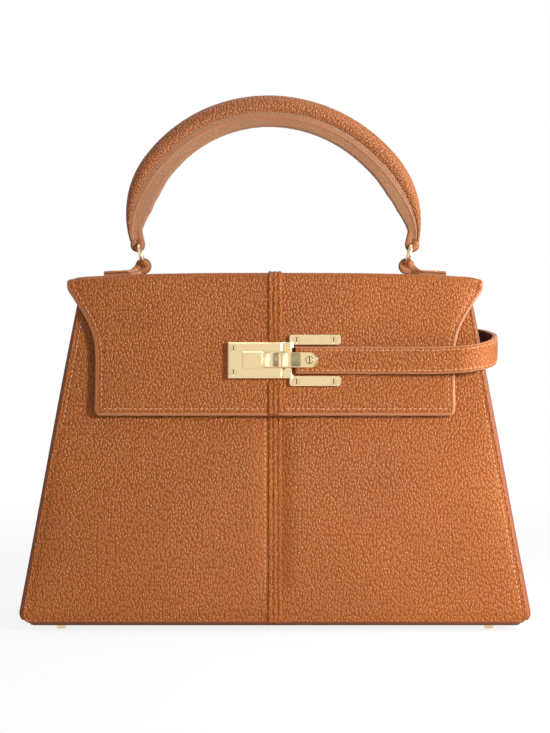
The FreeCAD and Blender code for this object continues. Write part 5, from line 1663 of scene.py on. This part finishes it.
# %% Stitches into meshes
def thread_piece(name, rows, seed):
    spots, ways, offs = (np.concatenate([row[k] for row in rows]) for k in range(3))
    mesh = bpy.data.meshes.new(name + "_rows")
    mesh.from_pydata((spots * MM).tolist(), [], [])
    for key, table in (("along_row", ways), ("off_hide", offs)):
        attribute = mesh.attributes.new(key, "FLOAT_VECTOR", "POINT")
        attribute.data.foreach_set("vector", table.astype(np.float32).ravel())
    carrier = bpy.data.objects.new(name + "_rows", mesh)
    bpy.context.scene.collection.objects.link(carrier)
    nodes = carrier.modifiers.new("stitches", "NODES")
    nodes.node_group = thread_tree
    nodes[thread_inputs["Seed"]] = seed
    nodes[thread_inputs["Thread"]] = thread_finish
    bpy.context.view_layer.update()
    ready = carrier.evaluated_get(bpy.context.evaluated_depsgraph_get())
    made = bpy.data.objects.new(name, bpy.data.meshes.new_from_object(ready))
    bpy.context.scene.collection.objects.link(made)
    bpy.data.objects.remove(carrier)
    return made


for seed, (body, rows) in enumerate(rows_of.items(), start=1):
    thread = thread_piece(f"{body}_stitches", rows, seed)
    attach(thread, body)
    print(thread.name, len(thread.data.polygons), "faces")

# %% [markdown]
# A plain studio: a pale floor that keeps the bag's soft shadow, and a white surround. The surround is full
# white only for what the camera and reflections see, and much dimmer as a lamp, so the leather keeps its
# own colour. In reflections it has a darker band on the right and is a little darker on the far left, so
# that the gold shows its form.

# %% Floor and surround
FLOOR_HALF = 9.0
FLOOR_GLOW = 0.86
LAMP_SHARE = 0.2


def floor_finish():
    """Near the bag the floor is almost white and keeps its shadow; further out it fades into the surround."""
    material, tree, shader = new_finish("pale_floor")
    shader.inputs["Base Color"].default_value = (0.88, 0.88, 0.88, 1)
    shader.inputs["Roughness"].default_value = 0.9
    white = node_of(tree, "ShaderNodeEmission", Color=(1, 1, 1, 1), Strength=1.0)
    clear = tree.nodes.new("ShaderNodeBsdfTransparent")
    lit, faded = (tree.nodes.new("ShaderNodeMixShader") for _ in range(2))
    place = tree.nodes.new("ShaderNodeTexCoord")
    reach = tree.nodes.new("ShaderNodeVectorMath")
    reach.operation = "LENGTH"
    fade = node_of(tree, "ShaderNodeMapRange", From_Min=0.3, From_Max=0.85)
    pairs = [(place.outputs["Object"], reach.inputs[0]), (reach.outputs["Value"], fade.inputs["Value"]),
             (math_node(tree, "MULTIPLY", seen_by_camera(tree), FLOOR_GLOW), lit.inputs[0]),
             (shader.outputs[0], lit.inputs[1]), (white.outputs[0], lit.inputs[2]),
             (fade.outputs[0], faded.inputs[0]), (lit.outputs[0], faded.inputs[1]),
             (clear.outputs[0], faded.inputs[2]), (faded.outputs[0], tree.nodes["Material Output"].inputs[0])]
    for source, target in pairs:
        tree.links.new(source, target)
    return material


def seen_by_camera(tree):
    """1 for rays from the camera and for those seen in gloss or glass, and 0 for light."""
    path = tree.nodes.new("ShaderNodeLightPath")
    seen = math_node(tree, "MAXIMUM", path.outputs["Is Camera Ray"], path.outputs["Is Glossy Ray"])
    return math_node(tree, "MAXIMUM", seen, path.outputs["Is Transmission Ray"])


def studio_floor():
    mesh = bpy.data.meshes.new("studio_floor")
    corners = [(x * FLOOR_HALF, y * FLOOR_HALF, 0) for x, y in ((-1, -1), (1, -1), (1, 1), (-1, 1))]
    mesh.from_pydata(corners, [], [(0, 1, 2, 3)])
    mesh.materials.append(floor_finish())
    floor = bpy.data.objects.new("studio_floor", mesh)
    bpy.context.scene.collection.objects.link(floor)


def studio_surround():
    """White to the camera and in gloss, dimmer as a lamp, with darker sides in gloss."""
    world = bpy.data.worlds.new("surround")
    bpy.context.scene.world = world
    world.use_nodes = True
    tree = world.node_tree
    glow = tree.nodes["Background"]
    glow.inputs["Color"].default_value = (1, 1, 1, 1)
    way = tree.nodes.new("ShaderNodeTexCoord")
    split = tree.nodes.new("ShaderNodeSeparateXYZ")
    tree.links.new(way.outputs["Generated"], split.inputs[0])
    band_start = node_of(tree, "ShaderNodeMapRange", From_Min=0.1, From_Max=0.42, To_Max=0.75)
    band_end = node_of(tree, "ShaderNodeMapRange", From_Min=0.7, From_Max=0.92, To_Min=1.0, To_Max=0.0)
    far_left = node_of(tree, "ShaderNodeMapRange", From_Min=-0.3, From_Max=-0.7, To_Max=0.25)
    for step in (band_start, band_end, far_left):
        tree.links.new(split.outputs["X"], step.inputs["Value"])
    band = math_node(tree, "MULTIPLY", band_start.outputs[0], band_end.outputs[0])
    both = math_node(tree, "ADD", band, far_left.outputs[0])
    gloss = tree.nodes.new("ShaderNodeLightPath").outputs["Is Glossy Ray"]
    dimmed = math_node(tree, "SUBTRACT", 1.0, math_node(tree, "MULTIPLY", both, gloss))
    seen = math_node(tree, "MULTIPLY", seen_by_camera(tree), 1 - LAMP_SHARE)
    level = math_node(tree, "ADD", seen, LAMP_SHARE)
    tree.links.new(math_node(tree, "MULTIPLY", level, dimmed), glow.inputs["Strength"])


studio_floor()
studio_surround()
print("studio ready")

# %% [markdown]
# Four lamps do the rest. A small one near the right front is the key and brings out the pebbles, one at the
# right grazes the front, a tall narrow strip at the left front fills the shadows, and a large one hangs
# above. The camera has a long lens and stands a little above the middle of the bag, as the photograph was
# taken.

# %% Lamps and camera
LAMP_AIM = (0, 0, 0.15)


def lamp(name, place, wide, tall, power):
    data = bpy.data.lights.new(name, "AREA")
    data.shape = "ELLIPSE"
    data.size = wide
    data.size_y = tall
    data.energy = power
    item = bpy.data.objects.new(name, data)
    bpy.context.scene.collection.objects.link(item)
    item.location = place
    way = np.array(LAMP_AIM, float) - np.array(place, float)
    from_z = math.acos(-way[2] / np.linalg.norm(way))
    item.rotation_euler = (from_z, 0, math.atan2(way[1], way[0]) - math.pi / 2)


lamp("key", (0.6, -0.6, 0.4), 0.18, 0.18, 7.5)
lamp("graze", (0.8, -0.02, 0.3), 0.2, 0.5, 4.5)
lamp("fill", (-1.1, -1.75, 0.6), 0.4, 1.5, 2.2)
lamp("above", (0.1, 0.2, 1.7), 1.1, 1.1, 9.0)

camera_data = bpy.data.cameras.new("photo_camera")
camera_data.sensor_fit = "HORIZONTAL"
camera_data.sensor_width = 36.0
camera_data.lens = 177.0
camera = bpy.data.objects.new("photo_camera", camera_data)
bpy.context.scene.collection.objects.link(camera)
camera.location = (0, -1.8, 0.25)
camera.rotation_euler = (math.radians(87.39), 0, 0)
bpy.context.scene.camera = camera
bpy.context.scene.view_settings.view_transform = "Standard"
print("camera at", tuple(round(v, 3) for v in camera.location))
